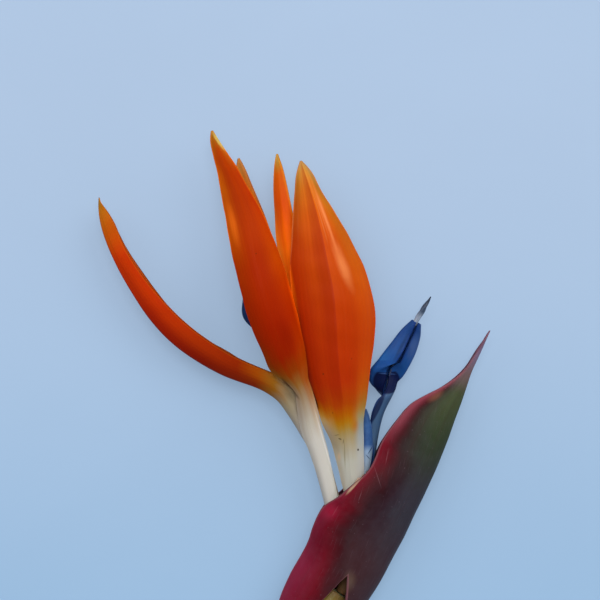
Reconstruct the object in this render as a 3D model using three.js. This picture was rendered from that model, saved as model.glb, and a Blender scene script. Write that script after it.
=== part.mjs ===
// Bird of paradise flower (Strelitzia reginae) on a cut stem, lying on its side on a table.
// Millimetres, +Z up from the table, +Y from the cut stem end towards the sepal tips.
// The origin is the middle of the bounding box, on the table.
import * as THREE from 'three';

// ---- driving dimensions (mm) ----
const wall = {
  sepal: 1.0, // orange sepals, at the base
  sepalTip: 0.7,
  spathe: 1.7, // thick boat-shaped bract
  spatheTip: 1.1,
  arrow: 0.55, // blue arrow petal
  nectary: 0.6, // small blue petal
  bracteole: 0.45, // papery bract on the lip of the spathe
};
const marginShare = 0.5; // a margin is this share of its midrib's thickness
const leastHalf = 0.15; // half width at a pointed tip
const styleRadius = 0.42;
const stamensRadius = 0.46;
const channel = { depth: 1.9, style: 0.6, stamens: -0.56 }; // where they run in the arrow petal
const centre = [2.05, 70.52]; // from the rows' own zero to the middle of the box

// where a sheet bends, as shares of its half width
const keelZone = 0.15;
const hookZone = { from: 0.36, length: 0.28 };

const colours = {
  sepal: 0xe85a0c,
  petal: 0x2c4c8f,
  spathe: 0x7a2036,
  stem: 0x7d8248,
  bracteole: 0xb98f5a,
  style: 0xd5d3cf,
  stamens: 0xd9cfae,
  ovary: 0xb6bd84,
};

// ---- smooth rows along a path ----
// Every organ is a list of rows [x, y, z, ...values] from base to tip.
const mix = (a, b, k) => a.map((value, i) => value + (b[i] - value) * k);
const far = (a, b) => Math.hypot(b[0] - a[0], b[1] - a[1], b[2] - a[2]);

// A centripetal Catmull-Rom curve through the rows; returns a function of the share of its length.
function smooth(rows) {
  const last = rows.length - 1;
  const ends = [mix(rows[1], rows[0], 2), ...rows, mix(rows[last - 1], rows[last], 2)];
  const points = [];
  for (let i = 0; i < last; i += 1) {
    const q = ends.slice(i, i + 4);
    const k = [0];
    for (let j = 0; j < 3; j += 1) k.push(k[j] + Math.sqrt(Math.max(far(q[j], q[j + 1]), 1e-6)));
    const between = (a, b, m, n, t) => mix(a, b, (t - k[m]) / (k[n] - k[m]));
    for (let step = 0; step < 12; step += 1) {
      const t = k[1] + ((k[2] - k[1]) * step) / 12;
      const a = [0, 1, 2].map((j) => between(q[j], q[j + 1], j, j + 1, t));
      points.push(between(between(a[0], a[1], 0, 2, t), between(a[1], a[2], 1, 3, t), 1, 2, t));
    }
  }
  points.push(rows[last]);
  const length = [0];
  for (let i = 1; i < points.length; i += 1) length.push(length[i - 1] + far(points[i - 1], points[i]));
  const total = length[length.length - 1];
  return (share) => {
    const target = Math.min(Math.max(share, 0), 1) * total;
    let i = length.findIndex((value) => value >= target);
    i = Math.max(i, 1);
    return mix(points[i - 1], points[i], (target - length[i - 1]) / (length[i] - length[i - 1]));
  };
}

// The path's direction and the two directions across it; roll 0 turns the outer side up.
function axes(at, share, roll) {
  const step = 0.012;
  const [a, b] = [at(share - step), at(share + step)].map((p) => new THREE.Vector3(...p.slice(0, 3)));
  const forward = b.sub(a).normalize();
  const right = new THREE.Vector3().crossVectors(forward, new THREE.Vector3(0, 0, 1)).normalize();
  const up = new THREE.Vector3().crossVectors(right, forward);
  const turn = THREE.MathUtils.degToRad(roll);
  const [c, s] = [Math.cos(turn), Math.sin(turn)];
  return {
    forward,
    out: up.clone().multiplyScalar(c).addScaledVector(right, s),
    side: right.clone().multiplyScalar(c).addScaledVector(up, -s),
  };
}

// ---- blade: a sheet folded along its midrib, closed all round ----
// Rows: [x, y, z, left, right, roll, fold, curl, hook, sweep]
//   left, right  half widths along the sheet     roll  the outer side's turn about the path
//   fold  the bend at the midrib on each side    curl  the even bend from midrib to margin
//   hook  the bend half way out                  sweep how far the margin runs ahead of the midrib
const blank = (row) => [...row, ...Array(Math.max(0, 10 - row.length)).fill(0)];
const clamp = (x) => Math.min(Math.max(x, 0), 1);
const ease = (x) => clamp(x) * clamp(x) * (3 - 2 * clamp(x));

function sheetPoint(at, share, s, hand, thick, lift = 0) {
  const [x, y, z, left, right, roll, fold, curl, hook, sweep] = at(share);
  const half = Math.max(hand < 0 ? left : right, leastHalf);
  const bend = (u) => {
    const q = clamp(u / keelZone);
    const hooked = ease((u - hookZone.from) / hookZone.length);
    return THREE.MathUtils.degToRad(fold * q * (2 - q) + curl * u + hook * hooked);
  };
  const steps = 32;
  let [across, down] = [0, 0];
  for (let i = 0; i < steps; i += 1) {
    const angle = bend((s * (i + 0.5)) / steps);
    across += (Math.cos(angle) * s * half) / steps;
    down += (Math.sin(angle) * s * half) / steps;
  }
  const { forward, out, side } = axes(at, share, roll);
  const outer = new THREE.Vector3(x, y, z)
    .addScaledVector(side, hand * across)
    .addScaledVector(out, -down)
    .addScaledVector(forward, sweep * s * s);
  const angle = bend(s);
  const normal = side.clone().multiplyScalar(hand * Math.sin(angle)).addScaledVector(out, Math.cos(angle));
  const full = thick[0] + (thick[1] - thick[0]) * share;
  const depth = Math.min(full * (marginShare + (1 - marginShare) * (1 - s * s)), 0.2 + half * 0.6);
  return [lift, lift + depth].map((d) => outer.clone().addScaledVector(normal, -d));
}

function blade({ rows, thick, along = 20, across = 6, strips = null, span = [0, 1], lift = 0 }) {
  const at = smooth(rows.map(blank));
  const half = Array.from({ length: across + 1 }, (_, i) => i / across);
  const columns = strips ?? bothSides(half, half);
  const outer = [];
  const inner = [];
  for (let i = 0; i <= along; i += 1) {
    for (const { hand, s, start = 0 } of columns) {
      const k = start + (1 - start) * (i / along);
      const share = span[0] + (span[1] - span[0]) * k;
      const [a, b] = sheetPoint(at, share, typeof s === 'function' ? s(i / along) : s, hand, thick, lift);
      outer.push(a);
      inner.push(b);
    }
  }
  const n = columns.length;
  const faces = [];
  const quad = (a, b, c, d) => faces.push([a, b, c], [a, c, d]);
  const o = (i, j) => i * n + j;
  const q = (i, j) => outer.length + i * n + j;
  for (let i = 0; i < along; i += 1) {
    for (let j = 0; j < n - 1; j += 1) {
      quad(o(i, j), o(i, j + 1), o(i + 1, j + 1), o(i + 1, j));
      quad(q(i, j), q(i + 1, j), q(i + 1, j + 1), q(i, j + 1));
    }
    quad(o(i, 0), o(i + 1, 0), q(i + 1, 0), q(i, 0));
    quad(o(i, n - 1), q(i, n - 1), q(i + 1, n - 1), o(i + 1, n - 1));
  }
  for (let j = 0; j < n - 1; j += 1) {
    quad(o(0, j), q(0, j), q(0, j + 1), o(0, j + 1));
    quad(o(along, j), o(along, j + 1), q(along, j + 1), q(along, j));
  }
  return solid([...outer, ...inner], faces);
}

// Columns from the left margin over the midrib to the right margin.
const bothSides = (left, right) => [
  ...left.slice(1).reverse().map((s) => ({ hand: -1, s })),
  ...right.map((s) => ({ hand: 1, s })),
];

// ---- rod: a round stalk with a radius at every row [x, y, z, radius] ----
function rod({ rows, along = 12, sides = 12 }) {
  const at = smooth(rows);
  const points = [];
  const faces = [];
  for (let i = 0; i <= along; i += 1) {
    const share = i / along;
    const [x, y, z, radius] = at(share);
    const { out, side } = axes(at, share, 0);
    for (let j = 0; j < sides; j += 1) {
      const turn = (2 * Math.PI * j) / sides;
      points.push(new THREE.Vector3(x, y, z)
        .addScaledVector(side, radius * Math.cos(turn))
        .addScaledVector(out, radius * Math.sin(turn)));
    }
  }
  const ring = (i, j) => i * sides + (j % sides);
  for (let i = 0; i < along; i += 1) {
    for (let j = 0; j < sides; j += 1) {
      const [a, b, c, d] = [ring(i, j), ring(i, j + 1), ring(i + 1, j + 1), ring(i + 1, j)];
      faces.push([a, c, b], [a, d, c]);
    }
  }
  for (const [i, flip] of [[0, false], [along, true]]) {
    points.push(new THREE.Vector3(...at(i / along).slice(0, 3)));
    for (let j = 0; j < sides; j += 1) {
      const edge = [ring(i, j), ring(i, j + 1)];
      faces.push(flip ? [points.length - 1, edge[1], edge[0]] : [points.length - 1, edge[0], edge[1]]);
    }
  }
  return solid(points, faces);
}

function solid(points, faces) {
  const geometry = new THREE.BufferGeometry();
  const moved = points.flatMap((p) => [p.x + centre[0], p.y + centre[1], p.z]);
  geometry.setAttribute('position', new THREE.Float32BufferAttribute(moved, 3));
  geometry.setIndex(faces.flat());
  geometry.computeVertexNormals();
  return geometry;
}

// Rod rows inside an organ's channel, set off across it, at some shares of its path.
function inside(rows, across, at, radius) {
  const path = smooth(rows.map(blank));
  return at.map((share) => {
    const row = path(share);
    const { out, side } = axes(path, share, row[5]);
    const p = new THREE.Vector3(...row.slice(0, 3))
      .addScaledVector(out, -channel.depth)
      .addScaledVector(side, across);
    return [p.x, p.y, p.z, radius];
  });
}

// ---- the older flower, on the left ----
const sepal1Near = [
  [14.0, -80, 14.9, 3.4, 3.3, 0, 0, 64], [12.2, -75, 15.0, 3.4, 3.3, 0, 0, 64],
  [10.3, -68, 15.1, 3.4, 3.3, 0, 0, 64], [8.3, -60, 15.5, 3.7, 3.5, 0, 0, 64],
  [6.4, -53, 16.0, 4.3, 4.0, 0, 0, 60], [4.4, -47, 16.8, 4.6, 4.3, 0, 0, 54],
  [3.1, -41, 17.7, 4.3, 4.0, 0, 0, 48], [1.7, -36, 18.7, 3.4, 4.1, 0, 0, 46],
  [0.6, -33, 19.5, 2.6, 4.4, 0, 0, 46], [-0.9, -30, 20.4, 3.3, 5.0, 0, 0, 46],
  [-2.4, -26.8, 21.5, 5.7, 6.5, 0, 0, 46], [-3.9, -23.4, 22.6, 7.7, 7.9, 0, 1, 46],
  [-5.6, -19, 24.0, 8.0, 9.2, 3, 2, 46], [-9.2, -8, 26.2, 8.9, 10.9, 8, 4, 44],
  [-12.8, 4.4, 27.17, 8.8, 11.0, 9, 5, 42], [-15.0, 12.4, 27.0, 8.6, 10.4, 8, 5, 40],
  [-16.8, 20, 26.6, 8.5, 9.3, 6, 6, 38],
  [-19.8, 31, 24.4, 7.0, 7.2, 3, 8, 36], [-23.2, 40.4, 21.2, 5.2, 5.1, 0, 12, 34],
  [-25.8, 46.4, 18.6, 3.9, 4.0, 0, 12, 30], [-28.6, 52, 16.2, 2.9, 2.9, 0, 10, 26],
  [-30.8, 57.4, 14.0, 1.7, 1.6, 0, 8, 20], [-31.7, 60.9, 12.6, 0.3, 0.3, 0, 0, 0],
];
const sepal1Left = [
  [11.3, -80.7, 10.8, 2.7, 2.4, -112, 0, 50, 18], [9.6, -75.7, 10.9, 2.7, 2.4, -112, 0, 50, 18],
  [7.8, -68.6, 10.9, 2.8, 2.5, -112, 0, 50, 18], [5.4, -60.4, 11.2, 3.0, 2.9, -106, 0, 54, 16],
  [3.0, -53.6, 11.4, 3.3, 3.6, -98, 0, 60, 12], [0.2, -48.6, 11.4, 3.8, 4.4, -88, 0, 66, 6],
  [-3.5, -42.6, 11.3, 4.8, 6.8, -84, 4, 86], [-8.0, -36.6, 11.4, 6.2, 9.8, -82, 12, 84],
  [-11.2, -34.2, 11.4, 6.8, 9.9, -83, 21, 68], [-14.8, -32.2, 11.3, 7.4, 8.8, -84, 32, 50],
  [-28.8, -26.6, 11.2, 8.6, 8.7, -90, 48, 26], [-43.2, -18.0, 11.0, 8.6, 9.3, -88, 52, 22],
  [-53.2, -7.2, 10.8, 8.4, 8.4, -88, 52, 22], [-61.5, 5.0, 10.6, 8.0, 7.0, -86, 52, 22],
  [-67.6, 17.3, 10.2, 7.0, 6.1, -84, 50, 22], [-71.3, 27.0, 9.6, 5.6, 5.2, -82, 48, 20],
  [-72.8, 33.0, 9.0, 3.2, 2.8, -80, 40, 16], [-72.8, 36.9, 8.6, 0.3, 0.3, -80, 0, 0],
];
const sepal1Far = [
  [16.4, -80, 10.4, 2.8, 2.8, 120, 0, 54], [14.8, -75, 10.4, 2.8, 2.8, 120, 0, 54],
  [13.0, -68, 10.4, 2.8, 2.8, 120, 0, 54], [10.8, -60, 10.0, 3.0, 3.0, 122, 0, 54],
  [7.2, -49, 9.0, 3.4, 3.4, 130, 0, 52], [4.4, -40, 7.4, 4.0, 4.0, 145, 0, 50],
  [0.6, -29, 4.8, 4.8, 5.6, 160, 0, 46], [-3.6, -16, 2.0, 5.2, 7.0, 168, 0, 42],
  [-8.2, 0, 0.3, 5.9, 7.4, 175, 3, 38], [-12.6, 17, 0.8, 5.0, 6.6, 178, 6, 34],
  [-16.8, 32, 3.0, 3.6, 4.7, 180, 8, 30], [-19.8, 41, 5.0, 2.7, 3.1, 180, 8, 26],
  [-21.3, 46.6, 6.4, 1.9, 2.1, 180, 8, 20], [-22.2, 51.2, 7.4, 0.3, 0.3, 180, 0, 0],
];
const arrow1 = [
  [14.0, -80, 10.3, 3.7, 3.7, 180, 0, 120], [12.2, -75, 10.3, 3.7, 3.7, 180, 0, 120],
  [10.4, -68, 10.3, 3.7, 3.7, 180, 0, 120], [8.3, -60, 10.3, 3.7, 3.7, 180, 0, 120],
  [4.6, -49, 10.8, 3.7, 3.7, 180, 0, 120], [1.0, -38, 11.6, 3.7, 3.7, 180, 0, 120],
  [-3.0, -26, 12.6, 3.8, 3.8, 180, 0, 122], [-6.4, -17.2, 13.0, 4.0, 4.0, 180, 0, 120, 4],
  [-9.6, -11.4, 13.0, 9.0, 10.0, 180, 4, 40, 110, 3], [-11.9, -5.4, 13.0, 16.0, 18.6, 180, 6, 22, 140, 6],
  [-13.6, 1.6, 13.2, 14.0, 15.6, 180, 8, 22, 136, 3], [-15.0, 9, 13.4, 10.4, 11.0, 180, 8, 26, 130, 1],
  [-16.8, 15.4, 13.6, 7.0, 7.0, 180, 6, 50, 90], [-18.0, 20.4, 13.8, 3.8, 3.8, 180, 0, 122],
];
const nectary1 = [
  [14.0, -79.6, 13.6, 0.8, 0.8, 0, 0, 20], [10.5, -68, 13.6, 0.8, 0.8, 0, 0, 20],
  [8.1, -59, 13.8, 1.0, 1.0, 0, 2, 30], [6.4, -52.4, 14.1, 1.3, 1.3, 0, 4, 40],
  [5.0, -47.4, 14.4, 0.3, 0.3, 0, 0, 0],
];

// ---- the newer flower, on the right ----
const sepal2Near = [
  [19.3, -77, 15.7, 3.1, 3.1, -15, 0, 47], [19.0, -70, 16.0, 4.0, 4.0, -12, 0, 47],
  [18.0, -60, 16.8, 5.3, 5.4, -8, 0, 46], [17.2, -52, 18.0, 6.6, 6.4, -4, 2, 44],
  [16.4, -44.4, 19.2, 9.2, 7.2, 0, 4, 40], [15.4, -36, 20.6, 11.4, 9.7, 0, 8, 36],
  [14.2, -26, 22.4, 14.0, 12.6, 3, 14, 33], [13.4, -16, 23.8, 15.4, 15.8, 5, 16, 30],
  [12.8, -6, 24.8, 16.2, 17.7, 6, 18, 28], [11.9, 3, 25.0, 16.6, 16.9, 7, 20, 26],
  [10.0, 13, 24.4, 15.4, 14.6, 7, 20, 24], [7.8, 23.4, 22.8, 12.5, 10.6, 7, 20, 22],
  [5.8, 32, 20.8, 9.8, 6.8, 7, 20, 20], [3.6, 39.8, 18.4, 6.6, 4.3, 6, 17, 19],
  [1.9, 45, 16.6, 3.9, 3.0, 6, 12, 14], [0.3, 49.9, 15.0, 0.3, 0.3, 6, 0, 0],
];
const sepal2Left = [
  [16.9, -77, 10.8, 2.5, 2.5, -112, 0, 42], [16.2, -70, 10.8, 2.4, 2.6, -110, 0, 42],
  [14.8, -60, 10.6, 2.6, 3.4, -106, 0, 42], [11.8, -48, 10.4, 3.2, 4.2, -95, 2, 42],
  [8.6, -36, 10.2, 4.6, 5.0, -75, 6, 40], [4.6, -20, 10.6, 5.8, 6.0, -46, 10, 36],
  [0.4, -4, 12.0, 5.8, 6.4, -28, 12, 32], [-3.0, 10, 13.6, 6.0, 6.0, -22, 12, 30],
  [-5.2, 22, 14.8, 4.8, 4.6, -20, 12, 28], [-6.4, 32, 15.2, 3.7, 3.6, -20, 12, 26],
  [-7.4, 41, 14.8, 2.7, 2.7, -20, 12, 22], [-8.0, 47.5, 14.2, 1.7, 1.7, -20, 8, 16],
  [-8.3, 52.4, 13.6, 0.3, 0.3, -20, 0, 0],
];
const sepal2Far = [
  [21.0, -77, 8.2, 2.3, 2.4, 168, 0, 40], [20.2, -70, 7.2, 2.4, 2.4, 172, 0, 38],
  [19.2, -60, 6.2, 2.8, 2.8, 172, 0, 36], [18.2, -48, 5.4, 4.0, 3.8, 170, 2, 38],
  [16.6, -32, 4.4, 6.4, 6.4, 165, 6, 40], [14.6, -14, 1.6, 8.0, 8.0, 168, 10, 36],
  [12.0, 4, 0.3, 8.2, 8.2, 172, 12, 32], [9.0, 20, 1.0, 6.6, 6.6, 175, 14, 28],
  [6.6, 32, 3.2, 3.8, 3.8, 176, 12, 22], [5.2, 39, 4.4, 0.3, 0.3, 176, 0, 0],
];
const arrow2 = [
  [21.2, -77, 9.8, 4.0, 4.0, 160, 0, 125], [22.4, -71, 9.5, 4.1, 4.1, 158, 0, 125],
  [24.6, -63, 8.8, 4.1, 4.1, 155, 0, 125], [26.2, -56, 8.1, 4.1, 4.1, 150, 0, 125],
  [27.5, -49, 7.8, 4.8, 4.1, 146, 0, 125], [29.5, -41, 7.8, 6.4, 4.1, 142, 0, 128],
  [31.9, -35.4, 7.6, 6.6, 4.4, 158, 0, 122, 4, 0], [32.0, -32.8, 7.2, 6.6, 10.0, 185, 4, 40, 110, 3],
  [31.8, -29.8, 6.6, 9.4, 17.6, 192, 6, 22, 127, 6], [33.6, -23.4, 6.8, 11.8, 14.6, 196, 8, 22, 126, 3],
  [36.8, -16.6, 7.6, 11.8, 10.8, 200, 8, 26, 130, 1], [39.8, -11.4, 8.2, 8.8, 8.2, 195, 6, 50, 90],
  [41.8, -7.8, 8.6, 5.8, 5.8, 188, 0, 162],
];
const nectary2 = [
  [20.6, -76.6, 14.0, 0.8, 0.8, 10, 0, 20], [22.4, -68, 13.9, 1.0, 1.0, 14, 0, 24],
  [23.7, -60, 13.7, 1.8, 1.8, 18, 0, 36], [24.2, -53, 13.6, 2.9, 2.9, 18, 6, 44],
  [24.2, -47, 13.5, 2.9, 2.9, 18, 8, 46], [23.9, -42.6, 13.5, 1.7, 1.8, 18, 8, 40],
  [23.6, -39.2, 13.4, 0.3, 0.3, 18, 0, 0],
];

// ---- what holds the flowers ----
// The keel of the spathe, base to tip; the notch in its near side shows the stem.
const spathe = [
  [6.2, -134.1, 10.7, 28.6, 28.6, 90, 0, 178], [12.8, -124.4, 10.7, 34.3, 34.3, 90, 18, 144],
  [19.2, -115.6, 10.7, 37.1, 37.1, 90, 22, 136], [24.9, -107.4, 10.7, 37.8, 37.8, 90, 24, 132],
  [29.6, -100.0, 10.7, 37.9, 37.9, 90, 25, 130], [34.3, -91.6, 10.7, 37.4, 37.4, 90, 27, 118],
  [37.2, -86.0, 10.7, 34.6, 34.6, 90, 28, 102], [39.8, -80.2, 10.7, 31.0, 31.0, 90, 30, 86],
  [44.9, -70.2, 10.8, 26.3, 26.3, 90, 32, 77],
  [50.1, -59.2, 10.7, 25.3, 25.3, 90, 38, 87], [53.2, -51.3, 10.7, 22.9, 22.9, 90, 40, 84],
  [56.1, -42.7, 10.7, 17.6, 17.6, 91, 42, 80], [59.3, -33.3, 10.0, 7.6, 7.6, 93, 44, 70],
  [61.8, -26.2, 9.6, 3.4, 3.4, 96, 42, 55], [65.4, -18.6, 9.2, 1.9, 1.9, 98, 36, 40],
  [68.7, -11.2, 8.8, 0.3, 0.3, 98, 0, 0],
];
const notch = [
  [0.25, 0], [0.27, 0.15], [0.30, 0.20], [0.43, 0.262], [0.46, 0.235], [0.50, 0.175], [0.58, 0.08], [0.65, 0],
];
const nearColumns = [0, 0.12, 0.25, 0.27, 0.30, 0.36, 0.43, 0.46, 0.50, 0.58, 0.65, 0.76, 0.88, 1];
function notchStart(s) {
  const i = notch.findIndex(([at]) => at >= s);
  if (i <= 0) return 0;
  const [[a, low], [b, high]] = [notch[i - 1], notch[i]];
  return low + ((high - low) * (s - a)) / (b - a);
}
const stigma2 = [[43.6, -4.6, 10.8, 0.9], [45.2, -2.0, 11.4, 0.6], [47.1, 1.2, 12, 0.2]];
const stem = [
  [12.6, -104.6, 10.6, 6.2], [8.2, -110.6, 10.6, 7.0], [-1.9, -130, 10.6, 7.3], [-6.8, -145, 9.6, 7.1],
  [-10.8, -162, 8.4, 7.0], [-13.7, -180, 7.4, 7.0], [-15.0, -201.6, 7.0, 7.0],
];
const ovary1 = [
  [14.4, -80.9, 11.9, 2.7], [14.4, -87, 11.4, 3.5], [13.0, -94.5, 10.8, 3.1], [10.4, -101.4, 10.4, 2.1],
];
const ovary2 = [
  [21.4, -77.9, 12, 3.4], [23.4, -85, 11.6, 4.0], [21.4, -94, 11.0, 3.4], [14.7, -105.5, 10.4, 2.2],
];

// ---- the flower ----
const flower = new THREE.Group();
function add(name, geometry, colour) {
  const material = new THREE.MeshStandardMaterial({ color: colours[colour], roughness: 0.5 });
  material.name = colour;
  const mesh = new THREE.Mesh(geometry, material);
  mesh.name = name;
  flower.add(mesh);
}

add('stem', rod({ rows: stem, along: 16, sides: 20 }), 'stem');
const farColumns = Array.from({ length: 11 }, (_, i) => i / 10);
const spatheColumns = bothSides(nearColumns, farColumns)
  .map((column) => (column.hand < 0 ? { ...column, start: notchStart(column.s) } : column));
add('spathe', blade({
  rows: spathe, thick: [wall.spathe, wall.spatheTip], along: 26, strips: spatheColumns,
}), 'spathe');

// The bracteole lies inside the near lip and stands a little proud of it half way along.
const proud = (k) => 0.965 + 0.075 * Math.sin(Math.PI * k);
const lipColumns = [proud, 0.96, 0.9, 0.84].map((s) => ({ hand: -1, s }));
add('bracteole', blade({
  rows: spathe,
  thick: [wall.bracteole, wall.bracteole],
  along: 14,
  strips: lipColumns,
  span: [0.44, 0.565],
  lift: wall.spathe + 0.1,
}), 'bracteole');
add('ovary_1', rod({ rows: ovary1, along: 8 }), 'ovary');
add('ovary_2', rod({ rows: ovary2, along: 8 }), 'ovary');

const sepals = {
  sepal_1_near: sepal1Near, sepal_1_left: sepal1Left, sepal_1_far: sepal1Far,
  sepal_2_near: sepal2Near, sepal_2_left: sepal2Left, sepal_2_far: sepal2Far,
};
for (const [name, rows] of Object.entries(sepals)) {
  add(name, blade({ rows, thick: [wall.sepal, wall.sepalTip], along: 22, across: 5 }), 'sepal');
}

const blues = { arrow_petal_1: arrow1, arrow_petal_2: arrow2 };
for (const [name, rows] of Object.entries(blues)) {
  add(name, blade({ rows, thick: [wall.arrow, wall.arrow], along: 30, across: 7 }), 'petal');
}
for (const [name, rows] of Object.entries({ nectary_petal_1: nectary1, nectary_petal_2: nectary2 })) {
  add(name, blade({ rows, thick: [wall.nectary, wall.nectary], along: 14, across: 3 }), 'petal');
}

// The style and the bundle of stamens run side by side in the arrow petal's channel.
const shares = (last) => Array.from({ length: Math.round(last * 10) + 1 }, (_, i) => i / 10);
const styleRows = (arrow) => inside(arrow, channel.style, shares(0.9), styleRadius);
const stamensRows = (arrow, last) => inside(arrow, channel.stamens, shares(last), stamensRadius);
add('style_1', rod({ rows: styleRows(arrow1), along: 24, sides: 8 }), 'style');
add('style_2', rod({ rows: [...styleRows(arrow2), ...stigma2], along: 28, sides: 8 }), 'style');
add('stamens_1', rod({ rows: stamensRows(arrow1, 0.7), along: 20, sides: 8 }), 'stamens');
add('stamens_2', rod({ rows: stamensRows(arrow2, 0.6), along: 20, sides: 8 }), 'stamens');

export default flower;
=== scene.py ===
import math

import bpy
import numpy as np
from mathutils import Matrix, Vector


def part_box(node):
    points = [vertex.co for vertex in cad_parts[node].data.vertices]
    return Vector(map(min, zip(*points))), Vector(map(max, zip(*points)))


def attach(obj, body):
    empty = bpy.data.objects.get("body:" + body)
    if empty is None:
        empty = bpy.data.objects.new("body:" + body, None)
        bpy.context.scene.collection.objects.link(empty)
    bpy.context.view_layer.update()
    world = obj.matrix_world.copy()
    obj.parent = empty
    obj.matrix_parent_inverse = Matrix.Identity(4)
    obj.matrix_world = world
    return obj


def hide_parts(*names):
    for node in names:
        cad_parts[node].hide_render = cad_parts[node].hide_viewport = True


# Bird of paradise flower on a cut stem, lying on a table.
# Every organ lies within 1.6 mm of its CAD node, or 3 mm at the newer arrow petal's stalk,
# and has a finer mesh and a finish of its own.
# Rows are [x, y, z, left, right, roll, fold, curl, hook, sweep], base to tip, in millimetres and degrees.

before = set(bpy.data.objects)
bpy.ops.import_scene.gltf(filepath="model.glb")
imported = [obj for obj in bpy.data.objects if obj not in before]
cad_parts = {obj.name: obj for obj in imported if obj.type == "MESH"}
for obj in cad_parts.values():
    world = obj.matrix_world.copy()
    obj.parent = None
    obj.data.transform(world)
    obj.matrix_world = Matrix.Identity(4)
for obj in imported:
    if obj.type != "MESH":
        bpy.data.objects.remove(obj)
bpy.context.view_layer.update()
print("frame loaded:", len(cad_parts), "nodes")

mm = 0.001
middle = np.array([2.05, 70.52, 0.0])  # from the rows' own zero to the middle of the box
upwards = np.array([0.0, 0.0, 1.0])


# at(shares) for a smooth curve through the rows, by share of its length
def curveThrough(rows, width=10, steps=48):
    rows = np.array([list(row) + [0.0] * (width - len(row)) for row in rows], float)
    ends = np.vstack([2 * rows[0] - rows[1], rows, 2 * rows[-1] - rows[-2]])
    points = []
    for i in range(len(rows) - 1):
        q = ends[i:i + 4]
        gaps = np.linalg.norm(np.diff(q[:, :3], axis=0), axis=1)
        k = np.concatenate([[0.0], np.cumsum(np.sqrt(np.maximum(gaps, 1e-6)))])
        t = (k[1] + (k[2] - k[1]) * np.arange(steps) / steps)[:, None]

        def blend(a, b, m, n):
            return a + (b - a) * (t - k[m]) / (k[n] - k[m])

        a = [blend(q[j], q[j + 1], j, j + 1) for j in range(3)]
        points.append(blend(blend(a[0], a[1], 0, 2), blend(a[1], a[2], 1, 3), 1, 2))
    points = np.vstack(points + [rows[-1:]])
    lengths = np.linalg.norm(np.diff(points[:, :3], axis=0), axis=1)
    reached = np.concatenate([[0.0], np.cumsum(lengths)])

    def at(shares):
        target = np.clip(shares, 0, 1) * reached[-1]
        return np.stack([np.interp(target, reached, points[:, c]) for c in range(width)], -1)

    at.length = reached[-1]
    return at


def unit(vectors):
    return vectors / np.linalg.norm(vectors, axis=-1, keepdims=True)


# forward, outward and sideways directions; roll 0 turns the outer side up
def axesAlong(at, shares, roll):
    step = 0.012
    forward = unit(at(shares + step)[..., :3] - at(shares - step)[..., :3])
    right = unit(np.cross(forward, upwards))
    up = np.cross(right, forward)
    turn = np.radians(roll)[..., None]
    outward = up * np.cos(turn) + right * np.sin(turn)
    sideways = right * np.cos(turn) - up * np.sin(turn)
    return forward, outward, sideways


def eased(x):
    x = np.clip(x, 0, 1)
    return x * x * (3 - 2 * x)


sheetShape = {
    "keelZone": 0.15,  # the fold at the midrib takes this share of the half width
    "hookFrom": 0.36,  # the margin's hook starts here and takes this much
    "hookLength": 0.28,
    "leastHalf": 0.15,
    "marginShare": 0.5,  # a margin is this share of its midrib's thickness
    "tipDepth": 0.2,  # a pointed tip is this thin, and thicker as it widens
    "tipGrowth": 0.6,
    "innerRelief": 0.6,  # the inner face shows this share of the outer relief
    "rimRound": 0.42,
    "endRound": 0.36,
    "bendSteps": 40,
}


# outer and inner points of a folded sheet, with the facts that its finish reads
def sheetPoints(at, shares, s, hand, thick, relief, lift=0.0):
    shape = sheetShape
    row = at(shares)
    left, right, roll = row[..., 3], row[..., 4], row[..., 5]
    fold, curl, hook, sweep = (row[..., c] for c in range(6, 10))
    half = np.maximum(np.where(hand < 0, left, right), shape["leastHalf"])

    def bend(u):
        q = np.clip(u / shape["keelZone"], 0, 1)
        hooked = eased((u - shape["hookFrom"]) / shape["hookLength"])
        return np.radians(fold * q * (2 - q) + curl * u + hook * hooked)

    across, down = np.zeros_like(half), np.zeros_like(half)
    for i in range(shape["bendSteps"]):
        angle = bend(s * (i + 0.5) / shape["bendSteps"])
        across += np.cos(angle) * s * half / shape["bendSteps"]
        down += np.sin(angle) * s * half / shape["bendSteps"]
    forward, outward, sideways = axesAlong(at, shares, roll)
    hand = np.broadcast_to(hand, half.shape)
    outer = (row[..., :3] + sideways * (hand * across)[..., None]
             - outward * down[..., None] + forward * (sweep * s * s)[..., None])
    angle = bend(s)
    normal = sideways * (hand * np.sin(angle))[..., None] + outward * np.cos(angle)[..., None]
    beyond = sideways * (hand * np.cos(angle))[..., None] - outward * np.sin(angle)[..., None]
    full = thick[0] + (thick[1] - thick[0]) * shares
    thinned = shape["marginShare"] + (1 - shape["marginShare"]) * (1 - s * s)
    depth = np.minimum(full * thinned, shape["tipDepth"] + half * shape["tipGrowth"])
    raised = relief(hand * s, shares, half)
    top = outer + normal * (raised - lift)[..., None]
    bottom = outer + normal * (raised * shape["innerRelief"] - lift - depth)[..., None]
    facts = {
        "across": hand * s,
        "along": shares,
        "width": hand * s * half,
        "length": shares * at.length,
        "edge": (1 - s) * half,
    }
    return top, bottom, beyond, forward, depth, facts


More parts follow.
